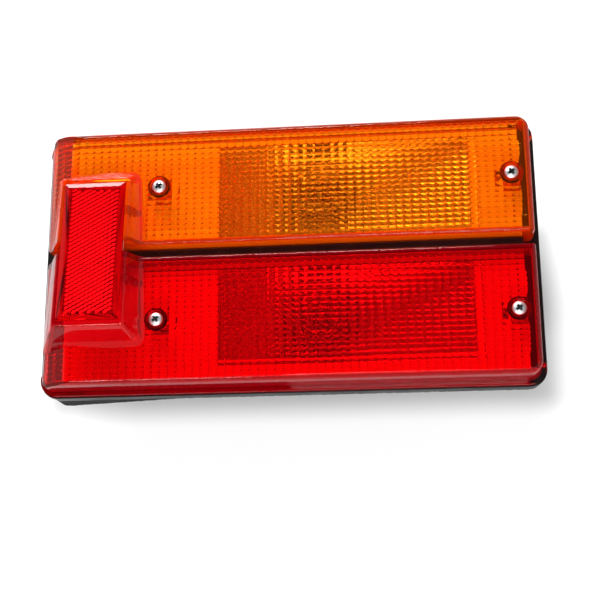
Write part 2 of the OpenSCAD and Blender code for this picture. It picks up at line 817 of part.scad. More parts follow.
// Outline of the ledge round a bowl, stepped in from the lens walls
module ledge_outline(side, step) {
    lean = (ledge_level - seat) * tan(max(wall_draft, seam_draft)) + bowl_play + step;
    z0 = low_z(side, lens_wall + lean) + (side > 0 ? 0 : ledge_far);
    z1 = high_z(side, lens_wall + lean) - (side > 0 ? ledge_far : 0);
    far = max(lens_corner - lens_wall - lean, least_r);
    near = max(gap_corner_r - lens_wall - lean, least_r);
    r = side > 0 ? [near, near, far, far] : [far, far, near, near];
    polygon(round_rect(lens_x0 + ledge_start + step, z0, lens_x1 - lens_wall - lean - ledge_end, z1, r));
}

// Metallised bowl with a flat ledge and a skirt that stands on the housing
module bowl(side) {
    color(silver) difference() {
        union() {
            between(ledge_level - bowl_t, ledge_level) ledge_outline(side, 0);
            between(flange_front, ledge_level) difference() {
                ledge_outline(side, 0);
                ledge_outline(side, bowl_t);
            }
            funnel(bowl_mouth(side, bowl_t), ledge_level - bowl_t / 2, bowl_base(side, bowl_t),
                bowl_back);
        }
        funnel(bowl_mouth(side, 0), ledge_level, bowl_base(side, 0), bowl_floor);
        between(ledge_level - sliver, ledge_level + over) rectangle(bowl_mouth(side, 0));
        on_axis(bulb_x, bulb_z(side)) rod(bulb_hole, bowl_back - over, bowl_floor + over);
        for (x = screw_xs) on_axis(x, screw_z(side))
            rod(column_d + 2 * bowl_play, flange_front, ledge_level + over);
    }
}

module indicator_bowl() { bowl(1); }
module tail_bowl() { bowl(-1); }

// Form of the glass, a ball on a neck, stepped in by a wall
module glass_form(t) {
    translate([0, 0, glass_tip - glass_d / 2]) sphere(glass_d / 2 - t);
    rod(cap_d - 2 * cap_wall - 2 * t, cap_front + t, glass_tip - glass_d / 2);
}

module bulb_glass(side) {
    color([0.9, 0.95, 1, 0.5]) on_axis(bulb_x, bulb_z(side)) {
        difference() {
            glass_form(0);
            glass_form(glass_t);
        }
        rod(stem_d, cap_front + glass_t / 2, cap_front + stem_l);
    }
}

module indicator_bulb_glass() { bulb_glass(1); }
module tail_bulb_glass() { bulb_glass(-1); }

// Brass cap with its bayonet pins and solder contacts
module bulb_cap(side, pips) {
    color(brass) on_axis(bulb_x, bulb_z(side)) {
        rod(cap_d, cap_back, cap_front);
        for (x = pips) translate([x, 0, cap_back - pip_h]) cylinder(d = pip_d, h = pip_h + over);
        translate([0, 0, cap_front - pin_drop]) rotate([0, 90, 0])
            cylinder(d = pin_d, h = cap_d + 2 * pin_out, center = true);
    }
}

module indicator_bulb_cap() { bulb_cap(1, [0]); }
module tail_bulb_cap() { bulb_cap(-1, [-pip_off, pip_off]); }

// Coiled filament between two supporting wires that stand in the glass stem
module filament(level, dz) {
    translate([0, dz, 0]) {
        for (sx = [-1, 1]) translate([sx * filament_l / 2, 0, cap_front + stem_l])
            cylinder(d = lead_d, h = level - cap_front - stem_l);
        translate([0, 0, level]) rotate([0, 90, 0])
            cylinder(d = filament_d, h = filament_l + lead_d, center = true);
    }
}

module indicator_filament() {
    color(silver) on_axis(bulb_x, bulb_z(1)) filament(cap_front + light_centre, 0);
}

module tail_filaments() {
    color(silver) on_axis(bulb_x, bulb_z(-1)) {
        filament(cap_front + light_centre, filament_gap / 2);
        filament(cap_front + light_centre - filament_gap, -filament_gap / 2);
    }
}

// Twist-in holder: plug with lugs, flange over the rubber ring, and the cup for the cap
module bulb_holder(side, blades) {
    plug_d = aperture_d - 2 * holder_play;
    pin_slot_w = pin_d + 2 * cap_play;
    pin_slot_l = cap_d + 2 * pin_out + 2 * cap_play;
    color(black) difference() {
        on_axis(bulb_x, bulb_z(side)) difference() {
            union() {
                rod(plug_d, holder_back, plug_front);
                rod(holder_flange_d, holder_back, holder_face);
                rod(cup_d, cup_back, holder_back + over);
                lug_bars(aperture_d / 2 + lug_reach, lug_w, house_bowl_in, house_bowl_in + lug_t);
            }
            rod(glass_d + 2 * holder_play, cap_front - cap_sunk, plug_front + over);
            rod(cap_d + 2 * cap_play, cup_floor, cap_front);
            translate([-pin_slot_l / 2, -pin_slot_w / 2, cap_front - pin_drop - pin_slot_w / 2])
                cube([pin_slot_l, pin_slot_w, pin_drop + pin_slot_w / 2]);
            for (x = blades) {
                translate([x - strip_t / 2 - strip_play, -blade_w / 2 - strip_play, cup_back - over])
                    cube([strip_t + 2 * strip_play, blade_w + 2 * strip_play, cup_end + 2 * over]);
            }
        }
        earth_finger(side, strip_play);
    }
}

module indicator_bulb_holder() { bulb_holder(1, [blade_off]); }
module tail_bulb_holder() { bulb_holder(-1, [-blade_off, blade_off]); }

module holder_seal(side) {
    color(black) on_axis(bulb_x, bulb_z(side)) difference() {
        rod(aperture_d + 2 * ring_w, holder_face, house_bowl_out);
        rod(aperture_d, holder_face - over, house_bowl_out + over);
    }
}

module indicator_holder_seal() { holder_seal(1); }
module tail_holder_seal() { holder_seal(-1); }

// Brass strip: a blade behind the cup, a foot on its floor and a leaf up to the solder contact
module contact(side, blade, heel, tip) {
    s = blade > heel ? 1 : -1;
    touch = cap_back - pip_h;
    color(brass) translate([bulb_x, 0, bulb_z(side)]) union() {
        lengthways(-blade_w / 2, blade_w / 2)
            polygon([[blade - strip_t / 2, cup_back - blade_l], [blade + strip_t / 2, cup_back - blade_l],
                [blade + strip_t / 2, cup_floor + strip_t], [blade - strip_t / 2, cup_floor + strip_t]]);
        lengthways(-leaf_w / 2, leaf_w / 2)
            polygon([[blade, cup_floor], [heel, cup_floor], [heel - s * strip_t, cup_floor + strip_t / 2],
                [tip, touch], [tip, touch - strip_t], [heel + s * strip_t / 2, cup_floor + strip_t],
                [blade, cup_floor + strip_t]]);
    }
}

module indicator_contact() { contact(1, blade_off, -long_heel, long_tip); }
module tail_contact() { contact(-1, -blade_off, -short_heel, -pip_off); }
module stop_contact() { contact(-1, blade_off, short_heel, pip_off); }

// Finger of the earth strip that reaches through the cup to the bulb's cap
module earth_finger(side, play) {
    start = cap_d / 2 + strip_play;
    reach = cup_d / 2 + earth_rim - start;
    translate([bulb_x, strip_t / 2 - holder_back, bulb_z(side) + side * (start + reach / 2)])
        cube([leaf_w + 2 * play, strip_t + 2 * play, reach + 2 * play], center = true);
}

// Earth strip across both holders, with one blade in the middle
module earth_strip() {
    level = holder_back - strip_t;
    span = bulb_z(1) - bulb_z(-1);
    color(brass) {
        difference() {
            union() {
                for (side = [-1, 1]) on_axis(bulb_x, bulb_z(side))
                    rod(cup_d + 4 * earth_rim, level, holder_back);
                between(level, holder_back) translate([bulb_x - earth_w / 2, bulb_z(-1)])
                    square([earth_w, span]);
            }
            for (side = [-1, 1]) on_axis(bulb_x, bulb_z(side))
                rod(cup_d + 2 * strip_play, level - over, holder_back + over);
        }
        earth_finger(1, 0);
        earth_finger(-1, 0);
        between(level - blade_l - strip_t, level + strip_t / 2)
            translate([bulb_x - blade_w / 2, seam_z - strip_t / 2]) square([blade_w, strip_t]);
    }
}

// Pan head screws with their cross recesses
module lens_screws() {
    color(silver) for (side = [-1, 1], x = screw_xs) on_axis(x, screw_z(side)) difference() {
        union() {
            rod(shank_d, head_base - shank_l + shank_d / 2, head_base + head_t / 2);
            translate([0, 0, head_base - shank_l])
                cylinder(d1 = screw_tip_d, d2 = shank_d, h = shank_d / 2);
            intersection() {
                rod(head_d, head_base, head_base + head_t);
                translate([0, 0, head_base + head_t - head_crown_r]) sphere(head_crown_r);
            }
        }
        for (a = [0, 90]) rotate(a + cross_turn) {
            translate([-cross_w / 2, -cross_t / 2, head_base + head_t - cross_h])
                cube([cross_w, cross_t, cross_h + over]);
        }
    }
}

module screw_washers() {
    color(black) for (side = [-1, 1], x = screw_xs) on_axis(x, screw_z(side)) difference() {
        rod(washer_d, head_seat, head_base);
        rod(shank_hole, head_seat - over, head_base + over);
    }
}

// Studs moulded into the tray, with their heads inside it
module mounting_studs() {
    head_level = tray_floor + stud_boss_rise;
    color(silver) for (sx = [-1, 1], sz = [-1, 1]) on_axis(sx * stud_dx / 2, sz * stud_dz / 2) {
        translate([0, 0, head_level]) cylinder(d = stud_head_d, h = stud_head_t, $fn = 6);
        rod(stud_neck_d, skirt_back, head_level + stud_head_t / 2);
        rod(stud_d, stud_point - stud_l, skirt_back + over);
        translate([0, 0, -stud_l])
            cylinder(d1 = stud_d - 2 * stud_chamfer, d2 = stud_d, h = stud_point);
    }
}

housing();
amber_lens();
red_lens();
amber_lens_seal();
red_lens_seal();
body_gasket();
reflex_reflector();
reflector_backing();
upper_retaining_bar();
lower_retaining_bar();
indicator_bowl();
tail_bowl();
indicator_bulb_glass();
indicator_bulb_cap();
indicator_filament();
tail_bulb_glass();
tail_bulb_cap();
tail_filaments();
indicator_bulb_holder();
tail_bulb_holder();
indicator_holder_seal();
tail_holder_seal();
indicator_contact();
tail_contact();
stop_contact();
earth_strip();
lens_screws();
screw_washers();
mounting_studs();
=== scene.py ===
"""Looks of a tail light cluster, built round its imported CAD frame.

Everything is in metres in the CAD row frame: X right, Z up, the lens faces look along -Y.
"""

import json
import logging
import math
from collections.abc import Callable, Sequence
from dataclasses import dataclass, field, replace
from enum import Enum

import bmesh
import bpy
import numpy as np
from mathutils import Matrix, Vector

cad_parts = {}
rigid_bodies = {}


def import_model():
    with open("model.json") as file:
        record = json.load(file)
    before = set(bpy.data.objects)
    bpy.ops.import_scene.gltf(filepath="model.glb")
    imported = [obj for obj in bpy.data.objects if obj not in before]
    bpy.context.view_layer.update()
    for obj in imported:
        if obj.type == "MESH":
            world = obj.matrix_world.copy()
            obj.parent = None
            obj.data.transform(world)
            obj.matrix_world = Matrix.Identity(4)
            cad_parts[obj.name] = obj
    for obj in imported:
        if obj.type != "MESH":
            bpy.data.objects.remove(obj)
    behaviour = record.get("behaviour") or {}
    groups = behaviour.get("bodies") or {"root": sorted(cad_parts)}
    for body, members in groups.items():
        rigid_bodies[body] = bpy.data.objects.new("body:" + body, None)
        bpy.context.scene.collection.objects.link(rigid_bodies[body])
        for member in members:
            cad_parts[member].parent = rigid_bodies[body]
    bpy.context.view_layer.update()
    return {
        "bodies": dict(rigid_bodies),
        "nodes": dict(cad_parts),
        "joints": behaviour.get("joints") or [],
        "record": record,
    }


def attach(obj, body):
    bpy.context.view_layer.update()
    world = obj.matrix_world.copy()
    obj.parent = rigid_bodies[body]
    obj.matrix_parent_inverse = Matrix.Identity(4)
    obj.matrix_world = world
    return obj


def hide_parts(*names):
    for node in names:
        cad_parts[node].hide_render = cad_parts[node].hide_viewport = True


LOG = logging.getLogger("tail_light")
MM = 0.001
BODY = "root"
MERGE = 2e-7
CUT = 1e-7
ALONG = Vector((1, 0, 0))
UP = Vector((0, 0, 1))
SQUARE = ((-1, -1), (1, -1), (1, 1), (-1, 1))

Socket = bpy.types.NodeSocket
Tree = bpy.types.NodeTree
Node = bpy.types.Node
Material = bpy.types.Material
Piece = bpy.types.Object
Shape = bmesh.types.BMesh
Triple = tuple[float, float, float]
Radius = Callable[[float], float]


class Side(Enum):
    """The two halves of the lamp."""

    AMBER = 1
    RED = -1


# Meshes


def mm(x: float, level: float, z: float) -> Vector:
    """Point of the row frame from its X, its level in front of the mounting face and its Z, in mm."""
    return Vector((x * MM, -level * MM, z * MM))


def link(name: str, mesh: bpy.types.Mesh) -> Piece:
    """Puts a mesh into the scene as an object at the origin.

    Args:
        name: the piece's name.
        mesh: its mesh, already in place.

    Returns:
        The new object.
    """
    piece = bpy.data.objects.new(name, mesh)
    bpy.context.scene.collection.objects.link(piece)
    return piece


def from_bmesh(name: str, shape: Shape) -> Piece:
    """Turns a bmesh into a linked object and frees it.

    Args:
        name: the piece's name.
        shape: the finished shape.

    Returns:
        The new object.
    """
    mesh = bpy.data.meshes.new(name)
    shape.to_mesh(mesh)
    shape.free()
    return link(name, mesh)


def smooth_by_angle(mesh: bpy.types.Mesh, degrees: float) -> None:
    """Shades a mesh smooth, apart from edges that bend by more than an angle.

    Args:
        mesh: the mesh to shade.
        degrees: the angle from which an edge stays sharp.
    """
    shape = bmesh.new()
    shape.from_mesh(mesh)
    limit = math.radians(degrees)
    for face in shape.faces:
        face.smooth = True
    for edge in shape.edges:
        edge.smooth = len(edge.link_faces) == 2 and edge.calc_face_angle(0.0) < limit
    shape.to_mesh(mesh)
    shape.free()


def middle(face: bmesh.types.BMFace) -> Triple:
    """X, level and Z of a face's middle, in mm."""
    spot = face.calc_center_median()
    return spot.x / MM, -spot.y / MM, spot.z / MM


def lofted(shape: Shape, loops: Sequence[Sequence[bmesh.types.BMVert]],
           capped: bool = False) -> None:
    """Spans quads between loops of as many vertices each.

    Args:
        shape: the mesh that holds the loops.
        loops: the loops, from back to front.
        capped: whether the first and last loops are filled.
    """
    for a, b in zip(loops, loops[1:]):
        for k in range(len(a)):
            n = (k + 1) % len(a)
            shape.faces.new((a[k], a[n], b[n], b[k]))
    if capped:
        shape.faces.new(loops[0])
        shape.faces.new(loops[-1])


def cut(shape: Shape, faces: Sequence[bmesh.types.BMFace], point: Vector,
        normal: Vector) -> None:
    """Cuts some of a mesh's faces along a plane.

    Args:
        shape: the mesh.
        faces: the faces to cut.
        point: a point of the plane.
        normal: the plane's normal.
    """
    around = {v for f in faces for v in f.verts} | {e for f in faces for e in f.edges} | set(faces)
    bmesh.ops.bisect_plane(shape, geom=list(around), dist=CUT, plane_co=point, plane_no=normal)


def merged_copy(node: Piece, name: str) -> Shape:
    """Copy of a CAD node's loose triangles with its doubles merged.

    Args:
        node: the CAD node.
        name: used in messages only.

    Returns:
        The merged shape.
    """
    shape = bmesh.new()
    shape.from_mesh(node.data)
    before = len(shape.verts)
    bmesh.ops.remove_doubles(shape, verts=shape.verts, dist=MERGE)
    LOG.info("%s: %d vertices merged to %d", name, before, len(shape.verts))
    return shape


def settle(piece: Piece, slot: str, *nodes: str) -> Piece:
    """Seats a finished piece on the frame.

    Args:
        piece: the piece, in place.
        slot: the record's material slot of the piece; not used.
        nodes: the CAD nodes that it stands for.

    Returns:
        The same piece.
    """
    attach(piece, BODY)
    if nodes:
        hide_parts(*nodes)
    LOG.info("%s: %d faces", piece.name, len(piece.data.polygons))
    return piece


def turned(rings: Sequence[tuple[float, float | Radius]], segments: int) -> Shape:
    """Closed solid from rings along a level axis, with a single vertex at each pole.

    Args:
        rings: (level, radius) from back to front in mm, where a radius may depend on the angle.
        segments: vertices in a ring.

    Returns:
        The solid in its own frame: X, then minus the level as Y, then Z, in metres.
    """
    shape = bmesh.new()
    loops = []
    for level, radius in rings:
        loop = []
        for k in range(segments):
            angle = 2 * math.pi * k / segments
            r = radius(angle) if callable(radius) else radius
            loop.append(shape.verts.new(mm(r * math.cos(angle), level, r * math.sin(angle))))
        loops.append(loop)
    lofted(shape, loops)
    for loop, level, turn in ((loops[0], rings[0][0], 1), (loops[-1], rings[-1][0], -1)):
        pole = shape.verts.new(mm(0, level, 0))
        for k in range(segments):
            n = (k + 1) % segments
            shape.faces.new((loop[n], loop[k], pole) if turn > 0 else (loop[k], loop[n], pole))
    bmesh.ops.recalc_face_normals(shape, faces=shape.faces)
    return shape


def thread(start: float, end: float, outer: float, depth: float, pitch: float,
           steps: int) -> list[tuple[float, float | Radius]]:
    """Rings of a screw thread that fades out at both ends.

    Args:
        start: level of its first ring.
        end: level of its last ring.
        outer: its crest radius.
        depth: its depth.
        pitch: its pitch.
        steps: rings in one turn.

    Returns:
        The rings, from back to front.
    """
    rings: list[tuple[float, float | Radius]] = []
    count = int((end - start) / pitch * steps)
    for k in range(count + 1):
        level = start + (end - start) * k / count
        fade = min(1.0, (level - start) / pitch, (end - level) / pitch)

        def radius(angle: float, level: float = level, fade: float = fade) -> float:
            """Radius of the thread at an angle."""
            turn = (level / pitch - angle / (2 * math.pi)) % 1.0
            return outer - depth * fade * (1.0 - abs(2.0 * turn - 1.0)) - (1.0 - fade) * depth * 0.5

        rings.append((level, radius))
    return rings


def carved(piece: Piece, cutter: Piece) -> None:
    """Cuts one object out of another and removes the cutter.

    Args:
        piece: the object to cut.
        cutter: the object to take away.
    """
    modifier = piece.modifiers.new("cut", "BOOLEAN")
    modifier.operation = "DIFFERENCE"
    modifier.solver = "EXACT"
    modifier.object = cutter
    baked(piece)
    bpy.data.objects.remove(cutter)


def flat_faced(piece: Piece) -> None:
    """Weights the shading normals by area, so that flat faces stay flat beside small fillets.

    Args:
        piece: the object, already shaded by angle.
    """
    modifier = piece.modifiers.new("weighted", "WEIGHTED_NORMAL")
    modifier.keep_sharp = True
    modifier.weight = 100
    baked(piece)


def baked(piece: Piece) -> None:
    """Replaces an object's mesh with what its modifiers make of it, and removes them.

    Args:
        piece: the object to bake.
    """
    bpy.context.view_layer.update()
    evaluated = piece.evaluated_get(bpy.context.evaluated_depsgraph_get())
    mesh = bpy.data.meshes.new_from_object(evaluated)
    mesh.name = piece.name
    piece.modifiers.clear()
    piece.data = mesh


# Node trees


class Graph:
    """A node tree, with short ways to add nodes to it and to link them."""

    def __init__(self, tree: Tree) -> None:
        """Takes the tree to work on."""
        self.tree = tree

    def add(self, kind: str, values: dict[str | int, object] | None = None,
            **settings: object) -> Node:
        """Adds a node.

        Args:
            kind: the node's type.
            values: numbers, colours or sockets for its inputs, by name or number.
            settings: the node's own settings.

        Returns:
            The new node.
        """
        made = self.tree.nodes.new(kind)
        for key, value in settings.items():
            setattr(made, key, value)
        for key, value in (values or {}).items():
            if isinstance(value, Socket):
                self.wire(value, made.inputs[key])
            else:
                made.inputs[key].default_value = value
        return made

    def wire(self, source: Socket, target: Socket) -> None:
        """Links two sockets."""
        self.tree.links.new(source, target)

    def mix(self, share: Socket | float, first: Socket,
            second: Socket) -> Socket:
        """Mixes two shaders.

        Args:
            share: the second shader's share, as a number or a socket.
            first: the first shader.
            second: the second shader.

        Returns:
            The mixed shader.
        """
        return self.add("ShaderNodeMixShader", {0: share, 1: first, 2: second}).outputs[0]


class TreeBuilder(Graph):
    """Builds one Geometry Nodes tree and runs it into a plain mesh."""

    def __init__(self, name: str) -> None:
        """Starts a tree with its geometry sockets.

        Args:
            name: the tree's name.
        """
        super().__init__(bpy.data.node_groups.new(name, "GeometryNodeTree"))
        face = self.tree.interface
        face.new_socket("Geometry", in_out="OUTPUT", socket_type="NodeSocketGeometry")
        face.new_socket("Places", in_out="INPUT", socket_type="NodeSocketGeometry")
        self.values: dict[str, object] = {}
        self.group_in: Node | None = None

    def size(self, name: str, value: object, kind: str = "NodeSocketFloat") -> Socket:
        """Adds a named input, whose value is set by its identifier before the first run.

        Args:
            name: the input's name.
            value: what the modifier gets.
            kind: the socket's type.

        Returns:
            The socket to wire from.
        """
        made = self.tree.interface.new_socket(name, in_out="INPUT", socket_type=kind)
        self.values[made.identifier] = value
        if self.group_in is None:
            self.group_in = self.add("NodeGroupInput")
        return self.group_in.outputs[name]

    def finish(self, last: Socket, name: str, material: Material,
               places: Sequence[Vector]) -> Piece:
        """Ends the tree in Realize Instances and Set Material, and makes it a plain mesh.

        Args:
            last: the geometry to keep.
            name: the piece's name.
            material: the material of the whole piece.
            places: the points that the tree works on.

        Returns:
            The new object, with no modifier left.
        """
        stuff = self.size("Material", material, "NodeSocketMaterial")
        realize = self.add("GeometryNodeRealizeInstances", {0: last})
        paint = self.add("GeometryNodeSetMaterial", {"Geometry": realize.outputs[0], "Material": stuff})
        self.add("NodeGroupOutput", {0: paint.outputs[0]})
        mesh = bpy.data.meshes.new(name + "_places")
        mesh.from_pydata([tuple(place) for place in places], [], [])
        piece = link(name, mesh)
        modifier = piece.modifiers.new("make", "NODES")
        modifier.node_group = self.tree
        for identifier, value in self.values.items():
            modifier[identifier] = value
        baked(piece)
        return piece


def repeated(name: str, pattern: Piece, places: Sequence[Vector],
             material: Material) -> Piece:
    """Copies of one pattern object at several places, as one plain mesh.

    Args:
        name: the piece's name.
        pattern: the object to repeat, which is removed.
        places: where its origin comes to lie.
        material: the material of all the copies.

    Returns:
        The new object.
    """
    tree = TreeBuilder(name)
    source = tree.size("Pattern", pattern, "NodeSocketObject")
    info = tree.add("GeometryNodeObjectInfo", {"Object": source})
    spread = tree.add("GeometryNodeInstanceOnPoints", {"Points": tree.group_in.outputs["Places"],
                                                       "Instance": info.outputs["Geometry"]})
    piece = tree.finish(spread.outputs[0], name, material, places)
    bpy.data.objects.remove(pattern)
    return piece


# Finishes


class Paint(Graph):
    """One material's node tree."""

    def __init__(self, name: str) -> None:
        """Starts a material that holds only its output.

        Args:
            name: the material's name.
        """
        self.material = bpy.data.materials.new(name)
        self.material.use_nodes = True
        super().__init__(self.material.node_tree)
        self.tree.nodes.clear()
        self.output = self.add("ShaderNodeOutputMaterial")

    def coords(self) -> Socket:
        """Object coordinates, which are the row frame's metres."""
        return self.add("ShaderNodeTexCoord").outputs["Object"]

    def principled(self, **values: object) -> Node:
        """Adds a Principled shader and sets the sockets that are the same all over."""
        named = {key.replace("_", " "): value for key, value in values.items()}
        return self.add("ShaderNodeBsdfPrincipled", named)

    def noise(self, scale: float, detail: float = 3.0, rough: float = 0.5) -> Socket:
        """Noise over Object coordinates.

        Args:
            scale: how fine it is.
            detail: how many finer layers it has.
            rough: how strong these are.

        Returns:
            The noise's value.
        """
        values = {"Vector": self.coords(), "Scale": scale, "Detail": detail, "Roughness": rough}
        return self.add("ShaderNodeTexNoise", values).outputs[0]

    def spread(self, source: Socket, low: float, high: float,
               start: float = 0.0, end: float = 1.0) -> Socket:
        """Maps a value from one range to another.

        Args:
            source: the value.
            low: result at start.
            high: result at end.
            start: lowest value read.
            end: highest value read.

        Returns:
            The mapped value.
        """
        values = {"Value": source, "From Min": start, "From Max": end, "To Min": low, "To Max": high}
        return self.add("ShaderNodeMapRange", values).outputs[0]

    def blend(self, mask: Socket, first: tuple,
              second: tuple | Socket) -> Socket:
        """Colour between two, by a mask.

        Args:
            mask: the second colour's share.
            first: the first colour.
            second: the second colour, as numbers or a socket.

        Returns:
            The blended colour.
        """
        end = (*second, 1.0) if isinstance(second, tuple) else second
        return self.add("ShaderNodeMix", {0: mask, 6: (*first, 1.0), 7: end}, data_type="RGBA").outputs[2]

    def bump(self, height: Socket, shader: Node, strength: float,
             distance: float) -> None:
        """Feeds a height to a shader's normal.

        Args:
            height: the height.
            shader: the shader that gets the bumps.
            strength: their strength.
            distance: the depth that a height of 1 stands for.
        """
        made = self.add("ShaderNodeBump", {"Height": height, "Strength": strength, "Distance": distance})
        self.wire(made.outputs[0], shader.inputs["Normal"])

    def done(self, shader: Socket) -> Material:
        """Feeds the shader to the output and gives the material."""
        self.wire(shader, self.output.inputs["Surface"])
        return self.material


def grain_group() -> Tree:
    """Group for moulded grain: fine relief, cloudy patches and small scuffs over Object coordinates.

    Returns:
        The node group, with its Height, Patches and Scuffs outputs.
    """
    graph = Graph(bpy.data.node_groups.new("Moulded grain", "ShaderNodeTree"))
    face = graph.tree.interface
    for name, start in (("Grain", 2500.0), ("Patch", 60.0), ("Scuff", 220.0)):
        face.new_socket(name, in_out="INPUT", socket_type="NodeSocketFloat").default_value = start
    for name in ("Height", "Patches", "Scuffs"):
        face.new_socket(name, in_out="OUTPUT", socket_type="NodeSocketFloat")
    source = graph.add("NodeGroupInput")
    target = graph.add("NodeGroupOutput")
    place = graph.add("ShaderNodeTexCoord")
    edge = graph.add("ShaderNodeMapRange", {"From Min": 0.62, "From Max": 0.72})
    for name, values, end in (("Grain", {"Detail": 2.0}, target.inputs["Height"]),
                              ("Patch", {"Detail": 4.0}, target.inputs["Patches"]),
                              ("Scuff", {"Detail": 6.0, "Distortion": 1.5}, edge.inputs["Value"])):
        noise = graph.add("ShaderNodeTexNoise", {**values, "Vector": place.outputs["Object"],
                                                 "Scale": source.outputs[name]})
        graph.wire(noise.outputs[0], end)
    graph.wire(edge.outputs[0], target.inputs["Scuffs"])
    return graph.tree


@dataclass(frozen=True)
class Moulding:
    """Opaque moulded plastic or rubber."""

    name: str
    colour: Triple
    worn: Triple
    rough: float
    grain: float = 2500.0
    relief: float = 0.15
    specular: float = 0.5

    def make(self, grain: Tree) -> Material:
        """Builds the material.

        Args:
            grain: the shared grain group.

        Returns:
            The material.
        """
        paint = Paint(self.name)
        group = paint.add("ShaderNodeGroup", {"Grain": self.grain}, node_tree=grain)
        colour = paint.blend(group.outputs["Scuffs"], self.colour, self.worn)
        rough = paint.spread(group.outputs["Patches"], self.rough - 0.08, self.rough + 0.1, 0.3, 0.7)
        shader = paint.principled(Base_Color=colour, Roughness=rough, Specular_IOR_Level=self.specular)
        paint.bump(group.outputs["Height"], shader, self.relief, 0.0002)
        return paint.done(shader.outputs[0])


@dataclass(frozen=True)
class Metal:
    """Bare or plated metal, whose deep recesses can be darkened with painted shade from an ambient
    occlusion mask.
    """

    name: str
    colour: Triple
    dull: Triple
    rough: float
    metallic: float = 1.0
    scratch: float = 900.0
    # The reach of the ambient occlusion and the near-black colour below paint shade into the metal's
    # recesses.
    recess: float = 0.0
    recess_shade: Triple = (0.02, 0.024, 0.027)

    def make(self) -> Material:
        """Builds the material.

        Returns:
            The material.
        """
        paint = Paint(self.name)
        cloud = paint.noise(160.0, 5.0, 0.6)
        plated = paint.blend(paint.spread(cloud, 0, 1, 0.4, 0.7), self.colour, self.dull)
        # Painted shade: where ambient occlusion within this reach finds the surface hemmed in, the colour
        # is blended towards a near-black, standing in for the shade inside recesses such as the screws'
        # cross.
        if self.recess:
            hidden = paint.add("ShaderNodeAmbientOcclusion", {"Distance": self.recess},
                               only_local=True, samples=8)
            plated = paint.blend(paint.spread(hidden.outputs["AO"], 0, 1, 0.7, 0.95), self.recess_shade, plated)
        rough = paint.spread(cloud, self.rough - 0.05, self.rough + 0.12, 0.3, 0.7)
        shader = paint.principled(Base_Color=plated, Metallic=self.metallic, Roughness=rough)
        paint.bump(paint.noise(self.scratch, 2.0), shader, 0.06, 0.0002)
        return paint.done(shader.outputs[0])


@dataclass(frozen=True)
class Metallised:
    """Bowl with a bright metal film inside, and a matt white ledge that was masked from it."""

    name: str
    film: Triple = (0.97, 0.97, 0.97)
    white: Triple = (0.86, 0.85, 0.84)
    ledge_y: float = -0.0194
    film_rough: float = 0.2
    white_rough: float = 0.55

    def make(self) -> Material:
        """Builds the material, whose film ends where the ledge begins.

        Returns:
            The material.
        """
        paint = Paint(self.name)
        place = paint.add("ShaderNodeSeparateXYZ", {0: paint.coords()})
        film = paint.spread(place.outputs[1], 0.0, 1.0, self.ledge_y, self.ledge_y + 0.0004)
        shader = paint.principled(Base_Color=paint.blend(film, self.white, self.film), Metallic=film,
                                  Roughness=paint.spread(film, self.white_rough, self.film_rough))
        paint.bump(paint.noise(220.0, 3.0), shader, 0.02, 0.0006)
        return paint.done(shader.outputs[0])


@dataclass(frozen=True)
class Acrylic:
    """Clear coloured plastic whose colour deepens with the length of the light's way through it."""

    name: str
    tint: Triple
    soak: Triple
    density: float
    shade: Triple
    body: Triple = (0.5, 0.5, 0.5)
    share: float = 0.0
    rough: float = 0.012
    index: float = 1.49

    def make(self) -> Material:
        """Builds the material, which lets lamps and scattered light straight through to what it covers.

        Returns:
            The material.
        """
        paint = Paint(self.name)
        haze = paint.spread(paint.noise(140.0, 3.0), self.rough * 0.5, self.rough * 1.5, 0.3, 0.7)
        glass = paint.principled(Base_Color=(*self.tint, 1.0), Roughness=haze, IOR=self.index,
                                 Transmission_Weight=1.0)
        tinted = paint.principled(Base_Color=(*self.body, 1.0), Roughness=1.0, Specular_IOR_Level=0.0)
        seen = paint.mix(self.share, glass.outputs[0], tinted.outputs[0])
        clear = paint.add("ShaderNodeBsdfTransparent", {0: (*self.shade, 1.0)})
        path = paint.add("ShaderNodeLightPath").outputs
        either = paint.add("ShaderNodeMath", {0: path["Is Shadow Ray"], 1: path["Is Diffuse Ray"]},
                           operation="MAXIMUM")
        soak = paint.add("ShaderNodeVolumeAbsorption",
                         {"Color": (*self.soak, 1.0), "Density": self.density})
        paint.wire(soak.outputs[0], paint.output.inputs["Volume"])
        return paint.done(paint.mix(either.outputs[0], seen, clear.outputs[0]))


@dataclass(frozen=True)
class Foam:
    """Open-celled foam with its pores."""

    name: str
    colour: Triple
    skin: Triple
    cell: float = 900.0

    def make(self) -> Material:
        """Builds the material.

        Returns:
            The material.
        """
        paint = Paint(self.name)
        pores = paint.add("ShaderNodeTexVoronoi", {"Vector": paint.coords(), "Scale": self.cell})
        open_share = paint.spread(pores.outputs["Distance"], 0, 1, 0.1, 0.6)
        shader = paint.principled(Base_Color=paint.blend(open_share, self.colour, self.skin),
                                  Roughness=paint.spread(paint.noise(120.0, 4.0), 0.8, 1.0),
                                  Specular_IOR_Level=0.08)
        paint.bump(pores.outputs["Distance"], shader, 0.7, 0.0006)
        return paint.done(shader.outputs[0])


